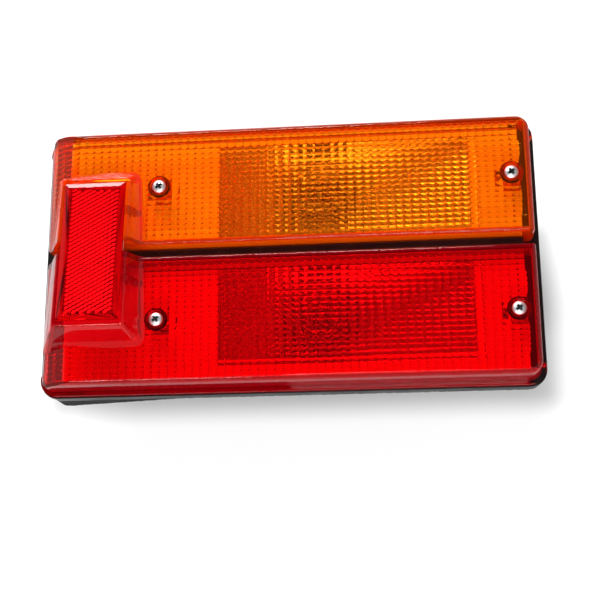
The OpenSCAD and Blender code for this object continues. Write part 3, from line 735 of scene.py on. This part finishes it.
class Finishes:
    """Every finish of the lamp, by name."""

    def __init__(self) -> None:
        """Builds the materials once."""
        grain = grain_group()
        self.housing = Moulding("Black housing plastic", (0.006, 0.006, 0.0065), (0.015, 0.015, 0.016),
                                0.34, 1800.0, 0.25, 0.25).make(grain)
        self.holder = Moulding("Holder plastic", (0.018, 0.018, 0.02), (0.04, 0.04, 0.042), 0.5).make(grain)
        self.rubber = Moulding("Black rubber", (0.01, 0.01, 0.01), (0.02, 0.02, 0.02), 0.72,
                               1500.0, 0.3, 0.2).make(grain)
        self.backing = Moulding("Backing plate plastic", (0.7, 0.66, 0.66), (0.6, 0.55, 0.55),
                                0.5).make(grain)
        self.bar = Moulding("Retaining bar plastic", (0.2, 0.004, 0.006), (0.26, 0.01, 0.012),
                            0.3).make(grain)
        self.zinc = Metal("Bright zinc", (0.66, 0.67, 0.69), (0.45, 0.46, 0.49), 0.26).make()
        # The screw heads get painted shade in their cross recesses from this ambient occlusion reach.
        self.screw = Metal("Screw zinc", (0.84, 0.84, 0.85), (0.7, 0.71, 0.73), 0.4, recess=0.0022).make()
        self.brass = Metal("Strip brass", (0.8, 0.58, 0.26), (0.5, 0.33, 0.14), 0.24).make()
        self.wire = Metal("Tungsten wire", (0.4, 0.4, 0.42), (0.3, 0.3, 0.32), 0.35).make()
        self.mirror = Metallised("Metallised reflector").make()
        amber = Acrylic("Amber acrylic", (1.0, 0.95, 0.75), (1.0, 0.76, 0.0), 600.0, (1.0, 0.78, 0.22),
                        (0.9, 0.16, 0.0), 0.05)
        red = Acrylic("Red acrylic", (1.0, 0.3, 0.35), (1.0, 0.0, 0.06), 600.0, (1.0, 0.1, 0.12),
                      (0.6, 0.0, 0.015), 0.05)
        self.amber = amber.make()
        self.red = red.make()
        self.amber_rim = replace(amber, name="Amber rim", body=(0.9, 0.07, 0.0), share=0.3).make()
        self.red_rim = replace(red, name="Red rim", body=(0.6, 0.0, 0.01), share=0.22).make()
        self.reflex = Acrylic("Reflector acrylic", (0.95, 0.13, 0.2), (0.93, 0.0, 0.05), 600.0,
                              (1.0, 0.1, 0.14), (0.7, 0.0, 0.02), 0.06, 0.02).make()
        self.glass = Acrylic("Bulb glass", (1.0, 1.0, 1.0), (0.98, 0.98, 1.0), 5.0, (0.97, 0.98, 1.0),
                             index=1.45).make()
        self.foam = Foam("Gasket foam", (0.012, 0.012, 0.013), (0.05, 0.05, 0.053)).make()


# The lamp's own pieces


@dataclass
class LensShell:
    """One lens, whose upright flutes are crossed with level ribs into rows of pillows."""

    side: Side
    pane: Material
    rim: Material
    pane_front: float = 32.0
    pane_back: float = 29.4
    pitch: float = 4.3
    rise: float = 0.45
    wrap_x: float = -136.2
    wrap_low: float = 18.5
    clear_x: float = -144.7
    wrap_columns: int = 5
    back_tilt: float = 0.55
    slack: float = 0.05
    rib_pitch: float = 2.85
    rib_rise: float = 0.45
    flute_more: float = 0.5
    cuts: int = 4
    crease: float = 30.0
    foot: float = 14.0
    foot_x: float = 103.2
    foot_z: float = 70.7
    draft: float = math.tan(math.radians(3.0))
    corner_r: float = 7.0
    edge_r: float = 3.0

    @property
    def name(self) -> str:
        """Name of the side's CAD node."""
        return "amber_lens" if self.side is Side.AMBER else "red_lens"

    @staticmethod
    def crown(across: float, pitch: float, rise: float) -> float:
        """Height of a round crown of one pitch's width, at a distance from its start, in mm."""
        radius = (pitch ** 2 / 4 + rise ** 2) / (2 * rise)
        off = across % pitch - pitch / 2
        return rise - radius + math.sqrt(radius ** 2 - off ** 2)

    def corner_cutter(self) -> Piece:
        """Solid outside the rounded outer corner, whose front edge is rolled like the lens's own.

        Returns:
            The cutter, from below the lens's foot to just in front of it.
        """
        edge = self.pane_front - self.edge_r
        levels = [(self.foot - 1.0, 0.0)]
        levels += [(edge + self.edge_r * math.sin(t), self.edge_r * (1 - math.cos(t)))
                   for t in (math.radians(a) for a in range(0, 91, 15))]
        levels.append((self.pane_front + 1.0, self.edge_r))
        far = self.corner_r + 2.0
        shape = bmesh.new()
        loops = []
        for level, inset in levels:
            step = (min(level, edge) - self.foot) * self.draft
            x, z = self.foot_x - step - self.corner_r, self.foot_z - step - self.corner_r
            r = self.corner_r - inset
            turns = [math.radians(a) for a in range(0, 91, 9)]
            spots = [(r * math.cos(t), r * math.sin(t)) for t in turns]
            spots += [(0.0, far), (far, far), (far, 0.0)]
            loops.append([shape.verts.new(mm(x + dx, level, self.side.value * (z + dz)))
                          for dx, dz in spots])
        lofted(shape, loops, capped=True)
        bmesh.ops.triangulate(shape, faces=shape.faces)
        bmesh.ops.recalc_face_normals(shape, faces=shape.faces)
        return from_bmesh("corner_cutter", shape)

    def rounded(self, shape: Shape) -> Shape:
        """Rounds the outer corner at the square end up to the front.

        Args:
            shape: the merged CAD lens, which is freed.

        Returns:
            The lens with its rounded corner.
        """
        piece = from_bmesh(self.name + "_uncut", shape)
        carved(piece, self.corner_cutter())
        made = bmesh.new()
        made.from_mesh(piece.data)
        bpy.data.objects.remove(piece)
        bmesh.ops.remove_doubles(made, verts=made.verts, dist=MERGE)
        return made

    def prism_faces(self, shape: Shape, wrapped: bool) -> list[bmesh.types.BMFace]:
        """Faces that carry the prisms.

        Args:
            shape: the lens.
            wrapped: True for the curved back of the wrapped end, False for the flutes' crowns.

        Returns:
            The faces.
        """
        found = []
        for face in shape.faces:
            x, level, _ = middle(face)
            if face.normal.y < self.back_tilt:
                continue
            if wrapped:
                if x < self.wrap_x and self.wrap_low < level < self.pane_back + self.slack:
                    found.append(face)
            elif x > self.wrap_x and self.pane_back - 1.0 < level < self.pane_back - 0.02:
                found.append(face)
        return found

    def slice(self, shape: Shape, point: Vector, normal: Vector,
              wrapped_only: bool = False) -> None:
        """Cuts the back of the pane along a plane.

        Args:
            shape: the lens.
            point: a point of the plane.
            normal: the plane's normal.
            wrapped_only: whether the cut stays within the wrapped end.
        """
        faces = []
        for face in shape.faces:
            x, level, _ = middle(face)
            if face.normal.y > self.back_tilt and self.wrap_low < level < self.pane_back + self.slack:
                if x < self.wrap_x or not wrapped_only:
                    faces.append(face)
        cut(shape, faces, point, normal)

    def part_rim(self, shape: Shape, low: float, high: float) -> None:
        """Gives the pane the first material and the walls, the wrapped end and the boss the second.

        Args:
            shape: the lens with its pillows.
            low: lower edge of the prisms.
            high: their upper edge.
        """
        right = max(v.co.x for f in self.prism_faces(shape, False) for v in f.verts)
        for point, normal in ((mm(0, 0, low), UP), (mm(0, 0, high), UP), (Vector((right, 0, 0)), ALONG)):
            front = [f for f in shape.faces
                     if f.normal.y < -0.99 and middle(f)[1] > self.pane_front - 0.1]
            cut(shape, front, point, normal)
        for face in shape.faces:
            x, level, z = middle(face)
            back, below = face.normal.y, level < self.pane_front + self.slack
            inside = self.wrap_x < x < right / MM and low < z < high
            flat = self.pane_back - 1.5 < level and below and abs(back) > 0.5
            outer = back < -0.2 and below
            inner = back > 0.2 and self.clear_x < x and self.wrap_low < level < self.pane_back + self.slack
            arc = x < self.wrap_x and (outer or inner)
            face.material_index = 0 if arc or inside and flat else 1

    def build(self, frame: dict) -> Piece:
        """Cuts the flutes and the wrapped end into a grid, and raises a pillow in each cell.


        Returns:
            The finished piece, seated on the frame.
        """
        shape = self.rounded(merged_copy(frame["nodes"][self.name], self.name))
        bmesh.ops.bisect_plane(shape, geom=[*shape.verts, *shape.edges, *shape.faces], dist=CUT,
                               plane_co=mm(self.wrap_x, 0, 0), plane_no=ALONG)
        spots = [v.co.z / MM for f in self.prism_faces(shape, False) for v in f.verts]
        low, high = min(spots), max(spots)
        rows = round((high - low) / self.rib_pitch)
        pitch = (high - low) / rows
        for turn in range(1, rows * self.cuts):
            self.slice(shape, mm(0, 0, low + turn * pitch / self.cuts), UP)
        for z in (low, high):
            self.slice(shape, mm(0, 0, z), UP)
        for turn in range(self.wrap_columns * self.cuts):
            self.slice(shape, mm(self.wrap_x - turn * self.pitch / self.cuts, 0, 0), ALONG, True)
        flat = {v for f in self.prism_faces(shape, False) for v in f.verts}
        bent = {v for f in self.prism_faces(shape, True) for v in f.verts} - flat
        for vert in flat | bent:
            x, z = vert.co.x / MM, vert.co.z / MM
            if not low < z < high or -vert.co.y / MM > self.pane_back + 0.01:
                continue
            lift = self.crown(z - low, pitch, self.rib_rise)
            wrapped = vert in bent and x < self.wrap_x
            share = 1.0 if wrapped else self.flute_more
            lift += self.crown(x - self.wrap_x, self.pitch, self.rise) * share
            vert.co.y += lift * MM
        self.part_rim(shape, low, high)
        bmesh.ops.triangulate(shape, faces=[f for f in shape.faces if len(f.verts) > 4])
        piece = from_bmesh(self.name + "_shell", shape)
        for material in (self.pane, self.rim):
            piece.data.materials.append(material)
        smooth_by_angle(piece.data, self.crease)
        flat_faced(piece)
        slot = "amber_acrylic" if self.side is Side.AMBER else "red_acrylic"
        return settle(piece, slot, self.name)


@dataclass
class ReflexBlock:
    """Reflector: a flat face with a sloped rim in front of rows of cube corners."""

    material: Material
    width: float = 32.8
    height: float = 77.0
    front: float = 1.4
    back: float = -2.2
    rim: float = 2.6
    rim_drop: float = 0.78
    cell: float = 2.4
    middle: Triple = (-128.6, 42.75, -0.5)
    tilt: float = math.atan(8.5 / 83.8)

    def place(self, x: float, level: float, z: float) -> Vector:
        """Point of the boss's own frame, in the row frame."""
        c, s = math.cos(self.tilt), math.sin(self.tilt)
        y = -level
        return Vector((self.middle[0] + x, -self.middle[1] + y * c + z * s,
                       self.middle[2] - y * s + z * c)) * MM

    def corner_level(self, i: int, j: int) -> float:
        """Level of the relief at a point of the triangular lattice."""
        step = self.cell / math.sqrt(3) / math.sqrt(2)
        return self.back + 0.02 + step * ((i - j) % 3)

    def build(self) -> Piece:
        """Makes the block's front, rim, walls and relief, as one closed mesh.

        Returns:
            The finished piece, seated on the frame.
        """
        shape = bmesh.new()
        half_w, half_h = self.width / 2, self.height / 2
        side = self.cell / math.sqrt(3)
        row = side * math.sqrt(3) / 2
        columns = int((self.width - 2 * self.rim) / side)
        rows = int((self.height - 2 * self.rim) / row)
        grid = {}
        for j in range(rows + 1):
            for i in range(columns + 1):
                shift = j // 2
                x = (i + 0.5 * (j % 2)) * side - (columns + 0.5) * side / 2
                z = j * row - rows * row / 2
                grid[i, j] = shape.verts.new(self.place(x, self.corner_level(i - shift, j), z))
        for j in range(rows):
            for i in range(columns):
                a, b = grid[i, j], grid[i + 1, j]
                c, d = grid[i, j + 1], grid[i + 1, j + 1]
                quads = ((a, b, c), (b, d, c)) if j % 2 == 0 else ((a, b, d), (a, d, c))
                for corners in quads:
                    shape.faces.new(corners)
        around = [grid[i, 0] for i in range(columns + 1)] + [grid[columns, j] for j in range(1, rows + 1)]
        around += [grid[i, rows] for i in range(columns - 1, -1, -1)]
        around += [grid[0, j] for j in range(rows - 1, 0, -1)]
        self.close(shape, around, half_w, half_h)
        bmesh.ops.recalc_face_normals(shape, faces=shape.faces)
        piece = from_bmesh("reflector_block", shape)
        piece.data.materials.append(self.material)
        return settle(piece, "reflector_acrylic", "reflex_reflector")

    def close(self, shape: Shape, around: list[bmesh.types.BMVert],
              half_w: float, half_h: float) -> None:
        """Joins the relief's edge to the block's back rim, walls, sloped rim and front.

        Args:
            shape: the mesh that holds the relief.
            around: the relief's edge, in order.
            half_w: half of the block's width.
            half_h: half of its height.
        """
        sizes = ((half_w, half_h, self.back), (half_w, half_h, self.front - self.rim_drop),
                 (half_w - self.rim, half_h - self.rim, self.front))
        loops = [[shape.verts.new(self.place(sx * w, level, sz * h)) for sx, sz in SQUARE]
                 for w, h, level in sizes]
        lofted(shape, loops)
        shape.faces.new(loops[2])
        ring = loops[0]
        edges = [shape.edges.get((around[k], around[(k + 1) % len(around)])) for k in range(len(around))]
        rim = [shape.edges.get((ring[k], ring[(k + 1) % 4])) for k in range(4)]
        bmesh.ops.bridge_loops(shape, edges=edges + rim)


@dataclass
class LensScrews:
    """Pan head screws with a cross recess and a coarse thread."""

    material: Material
    places: tuple[tuple[float, float], ...] = ((-96.0, 38.0), (92.0, 38.0), (-96.0, -36.0), (92.0, -36.0))
    head_base: float = 29.4
    head_t: float = 2.6
    head_r: float = 3.8
    crown_r: float = 6.5
    shank_r: float = 1.95
    shank_l: float = 22.0
    thread_pitch: float = 1.4
    thread_depth: float = 0.45
    cross_w: float = 4.9
    cross_t: float = 1.5
    cross_depth: float = 1.7
    turn: float = 35.0

    def pattern(self) -> Piece:
        """One screw on the frame's own axis.

        Returns:
            The screw, which is repeated later.
        """
        tip = self.head_base - self.shank_l
        top = self.head_base + self.head_t
        edge = top - self.crown_r + math.sqrt(self.crown_r ** 2 - self.head_r ** 2)
        rings: list[tuple[float, float | Radius]] = [(tip + 0.02, 0.3)]
        rings += thread(tip + self.shank_r, self.head_base - 0.4, self.shank_r, self.thread_depth,
                        self.thread_pitch, 10)
        rings += [(self.head_base, self.shank_r), (self.head_base, self.head_r - 0.15),
                  (self.head_base + 0.15, self.head_r), (edge - 0.25, self.head_r)]
        for k in range(1, 9):
            r = self.head_r * (1 - k / 9) - 0.06
            rings.append((top - self.crown_r + math.sqrt(self.crown_r ** 2 - r ** 2), r))
        screw = from_bmesh("screw_pattern", turned(rings, 40))
        for quarter in (0, 90):
            carved(screw, self.cutter(math.radians(self.turn + quarter), top))
        smooth_by_angle(screw.data, 38.0)
        return screw

    def cutter(self, angle: float, top: float) -> Piece:
        """Tapered bar that cuts one slot of the cross.

        Args:
            angle: the bar's turn about the screw's axis.
            top: level of the head's top.

        Returns:
            The cutter.
        """
        shape = bmesh.new()
        loops = []
        steps = ((top + 0.3, self.cross_w, self.cross_t + 0.1),
                 (top - self.cross_depth * 0.75, self.cross_w * 0.5, self.cross_t * 0.8),
                 (top - self.cross_depth, 0.7, self.cross_t * 0.6))
        c, s = math.cos(angle), math.sin(angle)
        for level, length, width in steps:
            corners = [(sx * length / 2, sz * width / 2) for sx, sz in SQUARE]
            loops.append([shape.verts.new(mm(x * c - z * s, level, x * s + z * c)) for x, z in corners])
        lofted(shape, loops, capped=True)
        bmesh.ops.recalc_face_normals(shape, faces=shape.faces)
        return from_bmesh("cross_cutter", shape)

    def build(self) -> Piece:
        """Repeats the screw at its four places."""
        spots = [mm(x, 0, z) for x, z in self.places]
        piece = repeated("cross_head_screws", self.pattern(), spots, self.material)
        return settle(piece, "zinc_steel", "lens_screws")


@dataclass
class ThreadedStuds:
    """Studs with a thread behind the tray and a chamfered hexagon head in it."""

    material: Material
    half_x: float = 86.0
    half_z: float = 48.0
    thread_r: float = 3.0
    neck_r: float = 3.5
    point: float = -20.0
    tray_back: float = 3.0
    head_level: float = 7.0
    head_t: float = 3.0
    head_r: float = 5.5

    def hexagon(self, angle: float) -> float:
        """Radius of the head's hexagon at an angle."""
        flat = self.head_r * math.cos(math.pi / 6)
        return flat / math.cos(angle % (math.pi / 3) - math.pi / 6)

    def build(self) -> Piece:
        """Turns one stud and repeats it at the four corners.

        Returns:
            The finished piece, seated on the frame.
        """
        rings: list[tuple[float, float | Radius]] = [(self.point, self.thread_r - 0.9)]
        rings += thread(self.point + 0.6, self.tray_back - 0.8, self.thread_r, 0.55, 1.0, 8)
        top = self.head_level + self.head_t

        def chamfered(angle: float) -> float:
            """Radius of the head's upper edge."""
            return min(self.hexagon(angle), self.head_r * 0.88)

        rings += [(self.tray_back, self.thread_r), (self.tray_back, self.neck_r),
                  (self.head_level, self.neck_r), (self.head_level, self.hexagon),
                  (top - 0.35, self.hexagon), (top, chamfered), (top, 1.0)]
        stud = from_bmesh("stud_pattern", turned(rings, 48))
        smooth_by_angle(stud.data, 28.0)
        spots = [mm(sx * self.half_x, 0, sz * self.half_z) for sx in (-1, 1) for sz in (-1, 1)]
        piece = repeated("threaded_studs", stud, spots, self.material)
        return settle(piece, "zinc_steel", "mounting_studs")


@dataclass
class Filaments:
    """Coiled filaments on their supporting wires."""

    material: Material
    x: float = -11.5
    stem_top: float = -4.3
    length: float = 6.0
    coil_r: float = 0.42
    wire_r: float = 0.09
    lead_r: float = 0.3
    turns: float = 14.0

    def coil(self, name: str, spots: Sequence[tuple[float, float]]) -> Piece:
        """One coil along X at each of several points.

        Args:
            name: the piece's name.
            spots: (level, z) of each coil's middle.

        Returns:
            The coils, with their wires, as one mesh.
        """
        tree = TreeBuilder(name)
        spiral = tree.add("GeometryNodeCurveSpiral", {
            "Resolution": 14, "Rotations": tree.size("Turns", self.turns),
            "Start Radius": tree.size("Coil", self.coil_r * MM),
            "End Radius": tree.size("Coil end", self.coil_r * MM),
            "Height": tree.size("Length", self.length * MM)})
        circle = tree.add("GeometryNodeCurvePrimitiveCircle", {
            "Resolution": 8, "Radius": tree.size("Wire", self.wire_r * MM)})
        tube = tree.add("GeometryNodeCurveToMesh", {
            "Curve": spiral.outputs[0], "Profile Curve": circle.outputs[0], "Fill Caps": True})
        turn = tree.add("GeometryNodeTransform", {
            "Geometry": tube.outputs[0], "Translation": (-self.length / 2 * MM, 0, 0),
            "Rotation": (0, math.pi / 2, 0)})
        spread = tree.add("GeometryNodeInstanceOnPoints", {
            "Points": tree.group_in.outputs["Places"], "Instance": turn.outputs[0]})
        piece = tree.finish(spread.outputs[0], name, self.material,
                            [mm(self.x, level, z) for level, z in spots])
        shape = bmesh.new()
        shape.from_mesh(piece.data)
        for level, z in spots:
            for sx in (-1, 1):
                end = level + self.coil_r
                rings = [(self.stem_top, self.lead_r), (end - 0.4, self.lead_r), (end, self.lead_r * 0.6)]
                made = turned(rings, 12)
                bmesh.ops.translate(made, verts=made.verts, vec=mm(self.x + sx * self.length / 2, 0, z))
                part = bpy.data.meshes.new("lead")
                made.to_mesh(part)
                made.free()
                shape.from_mesh(part)
                bpy.data.meshes.remove(part)
        for face in shape.faces:
            face.material_index = 0
        shape.to_mesh(piece.data)
        shape.free()
        smooth_by_angle(piece.data, 40.0)
        return piece

    def build(self) -> None:
        """Makes the single filament of the upper bulb and the two of the lower."""
        settle(self.coil("indicator_coil", [(6.7, 36.0)]), "filament_wire", "indicator_filament")
        settle(self.coil("tail_coils", [(6.7, -31.0), (2.7, -35.0)]), "filament_wire", "tail_filaments")


@dataclass
class FoamGasket:
    """Foam ring with softened edges and an uneven, porous skin."""

    material: Material
    voxel: float = 1.2
    depth: float = 0.25
    fill: float = 1.0

    def build(self, frame: dict) -> Piece:
        """Remeshes the CAD ring finely and dents its skin.


        Returns:
            The finished piece, seated on the frame.
        """
        piece = from_bmesh("foam_gasket", merged_copy(frame["nodes"]["body_gasket"], "body_gasket"))
        remesh = piece.modifiers.new("remesh", "REMESH")
        remesh.mode = "VOXEL"
        remesh.voxel_size = self.voxel * MM
        baked(piece)
        mesh = piece.data
        count = len(mesh.vertices)
        spots = np.empty(count * 3)
        mesh.vertices.foreach_get("co", spots)
        spots = spots.reshape(-1, 3)
        normals = np.empty(count * 3)
        mesh.vertices.foreach_get("normal", normals)
        normals = normals.reshape(-1, 3)
        waves = ((1900, 700, 400), (-600, 1500, 1100), (300, -900, 2100))
        wave = sum(np.sin(spots @ np.array(k)) for k in waves)
        dent = (np.abs(wave) / 3.0) * self.depth * MM
        mesh.vertices.foreach_set("co", (spots - normals * dent[:, None]).ravel())
        mesh.update()
        smooth_by_angle(mesh, 60.0)
        mesh.materials.clear()
        mesh.materials.append(self.material)
        settle(piece, "foam", "body_gasket")
        return piece


@dataclass
class DressedNodes:
    """CAD nodes that keep their own shape and only get a finish."""

    finishes: Finishes
    choice: dict[str, str] = field(default_factory=lambda: {
        "housing": "housing", "amber_lens_seal": "rubber", "red_lens_seal": "rubber",
        "reflector_backing": "backing", "upper_retaining_bar": "bar", "lower_retaining_bar": "bar",
        "indicator_bowl": "mirror", "tail_bowl": "mirror",
        "indicator_bulb_glass": "glass", "tail_bulb_glass": "glass",
        "indicator_bulb_cap": "brass", "tail_bulb_cap": "brass",
        "indicator_bulb_holder": "holder", "tail_bulb_holder": "holder",
        "indicator_holder_seal": "rubber", "tail_holder_seal": "rubber",
        "indicator_contact": "brass", "tail_contact": "brass", "stop_contact": "brass",
        "earth_strip": "brass", "screw_washers": "rubber"})

    def build(self, frame: dict) -> None:
        """Dresses each node.
        """
        for name, finish in self.choice.items():
            mesh = frame["nodes"][name].data
            mesh.materials.clear()
            mesh.materials.append(getattr(self.finishes, finish))
            LOG.info("%s dressed as %s", name, finish)


# Studio


@dataclass
class Studio:
    """Camera, soft lamps, world and the pale table that the lamp lies on, with a painted shadow on the
    table near the lamp.
    """

    eye: Triple = (0.034318, -0.628438, -0.193749)
    right: Triple = (0.99524027, 0.0972072, -0.00689649)
    up: Triple = (0.03289103, -0.26844713, 0.96273273)
    forward: Triple = (-0.09173321, 0.95837722, 0.27036664)
    lens: float = 1200.0 / 589.0 * 36.0
    table_y: float = 0.046
    table_half: float = 3.0
    table_lift: float = 0.44
    # Painted shadow: inside a box round the lamp, set down and to the right, the camera-ray lift fades to
    # the level below.
    painted_shadow_lift: float = 0.0
    painted_shadow_middle: Triple = (-0.028, 0.0, -0.0195)
    painted_shadow_half: Triple = (0.138, 0.0, 0.0445)
    painted_shadow_fade: float = 0.018
    dark_aim: Triple = (-0.05, -0.905, 0.422)
    dark_angle: float = 32.0
    dark_edge: float = 16.0
    dark_level: float = 0.02
    sky_level: float = 0.4

    def camera(self) -> None:
        """Places the camera at the photograph's viewing angle."""
        data = bpy.data.cameras.new("camera")
        data.sensor_width = 36.0
        data.lens = self.lens
        data.clip_start, data.clip_end = 0.01, 20.0
        camera = bpy.data.objects.new("camera", data)
        turn = Matrix((self.right, self.up, tuple(-c for c in self.forward))).transposed()
        camera.matrix_world = Matrix.Translation(self.eye) @ turn.to_4x4()
        bpy.context.scene.collection.objects.link(camera)
        bpy.context.scene.camera = camera

    def lamp(self, name: str, place: tuple, aim: tuple, size: tuple, power: float) -> None:
        """Adds a soft rectangular lamp.

        Args:
            name: the lamp's name.
            place: where it stands.
            aim: the point it looks at.
            size: its width and height.
            power: its power in watts.
        """
        data = bpy.data.lights.new(name, "AREA")
        data.shape = "RECTANGLE"
        data.size, data.size_y = size
        data.energy = power
        lamp = bpy.data.objects.new(name, data)
        lamp.location = place
        lamp.rotation_mode = "QUATERNION"
        lamp.rotation_quaternion = (Vector(aim) - Vector(place)).to_track_quat("-Z", "Y")
        bpy.context.scene.collection.objects.link(lamp)

    def lamps(self) -> None:
        """Places the soft boxes."""
        self.lamp("top box", (-0.32, -0.68, 1.0), (-0.03, 0, 0), (1.0, 0.4), 16.5)
        self.lamp("low box", (-0.1, -0.85, -0.85), (-0.03, 0, 0), (1.0, 0.22), 6.5)
        self.lamp("ring", (0.04, -0.8, -0.26), (-0.03, 0, 0), (0.3, 0.3), 1.0)

    def table(self) -> None:
        """Adds the pale table, which stands behind the lamp and can't be seen from its back, with a painted
        shadow: camera rays get a white lift that fades out in a box round the lamp.
        """
        h = self.table_half
        mesh = bpy.data.meshes.new("table")
        mesh.from_pydata([(-h, self.table_y, -h), (h, self.table_y, -h), (h, self.table_y, h),
                          (-h, self.table_y, h)], [], [(0, 1, 2, 3)])
        table = link("table", mesh)
        paint = Paint("Pale table")
        mottle = paint.blend(paint.noise(3.0), (0.82, 0.82, 0.82), (0.84, 0.84, 0.84))
        shader = paint.principled(Base_Color=mottle, Roughness=0.6, Specular_IOR_Level=0.2)
        # Painted shadow: distance from a box round the lamp, set down and to the right; inside the box the
        # camera-ray lift fades out, so the table stays darker there than its lighting makes it.
        far = paint.coords()
        for operation, value in (("SUBTRACT", self.painted_shadow_middle), ("MULTIPLY", (1.0, 0.0, 1.0)),
                                 ("ABSOLUTE", None), ("SUBTRACT", self.painted_shadow_half),
                                 ("MAXIMUM", (0.0, 0.0, 0.0)), ("LENGTH", None)):
            values = {0: far, 1: value} if value else {0: far}
            step = paint.add("ShaderNodeVectorMath", values, operation=operation)
            far = step.outputs["Value" if operation == "LENGTH" else "Vector"]
        limits = {"Value": far, "From Max": self.painted_shadow_fade, "To Min": self.painted_shadow_lift,
                  "To Max": self.table_lift}
        rise = paint.add("ShaderNodeMapRange", limits, interpolation_type="SMOOTHSTEP")
        direct = paint.add("ShaderNodeLightPath").outputs["Is Camera Ray"]
        seen = paint.add("ShaderNodeMath", {0: direct, 1: rise.outputs[0]}, operation="MULTIPLY")
        backdrop_lift_and_painted_shadow = paint.add("ShaderNodeEmission", {"Strength": seen.outputs[0]})
        both = paint.add("ShaderNodeAddShader", {0: shader.outputs[0], 1: backdrop_lift_and_painted_shadow.outputs[0]})
        facing = paint.add("ShaderNodeNewGeometry").outputs["Backfacing"]
        clear = paint.add("ShaderNodeBsdfTransparent")
        mesh.materials.append(paint.done(paint.mix(facing, both.outputs[0], clear.outputs[0])))

    def world(self) -> None:
        """Sets a white world with one dark area, which the flat fronts mirror to the camera."""
        world = bpy.data.worlds.new("studio")
        bpy.context.scene.world = world
        world.use_nodes = True
        graph = Graph(world.node_tree)
        graph.tree.nodes.clear()
        where = graph.add("ShaderNodeNewGeometry").outputs["Incoming"]
        away = tuple(-c for c in Vector(self.dark_aim).normalized())
        toward = graph.add("ShaderNodeVectorMath", {0: where, 1: away}, operation="DOT_PRODUCT")
        limits = {"Value": toward.outputs["Value"],
                  "From Min": math.cos(math.radians(self.dark_angle + self.dark_edge)),
                  "From Max": math.cos(math.radians(self.dark_angle)),
                  "To Min": self.sky_level, "To Max": self.dark_level}
        level = graph.add("ShaderNodeMapRange", limits, interpolation_type="SMOOTHSTEP").outputs[0]
        soft = graph.add("ShaderNodeBackground", {0: (1.0, 0.995, 0.99, 1.0), 1: level}).outputs[0]
        white = graph.add("ShaderNodeBackground", {0: (1.0, 1.0, 1.0, 1.0)}).outputs[0]
        direct = graph.add("ShaderNodeLightPath").outputs["Is Camera Ray"]
        graph.add("ShaderNodeOutputWorld", {"Surface": graph.mix(direct, soft, white)})

    def build(self) -> None:
        """Sets up everything that isn't part of the lamp."""
        self.camera()
        self.lamps()
        self.table()
        self.world()
        bpy.context.scene.view_settings.view_transform = "Standard"


def main() -> None:
    """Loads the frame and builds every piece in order."""
    logging.basicConfig(level=logging.INFO, format="%(name)s: %(message)s")
    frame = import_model()
    finishes = Finishes()
    DressedNodes(finishes).build(frame)
    LensShell(Side.AMBER, finishes.amber, finishes.amber_rim).build(frame)
    LensShell(Side.RED, finishes.red, finishes.red_rim).build(frame)
    ReflexBlock(finishes.reflex).build()
    LensScrews(finishes.screw).build()
    ThreadedStuds(finishes.zinc).build()
    Filaments(finishes.wire).build()
    FoamGasket(finishes.foam).build(frame)
    Studio().build()


if __name__ == "__main__":
    main()
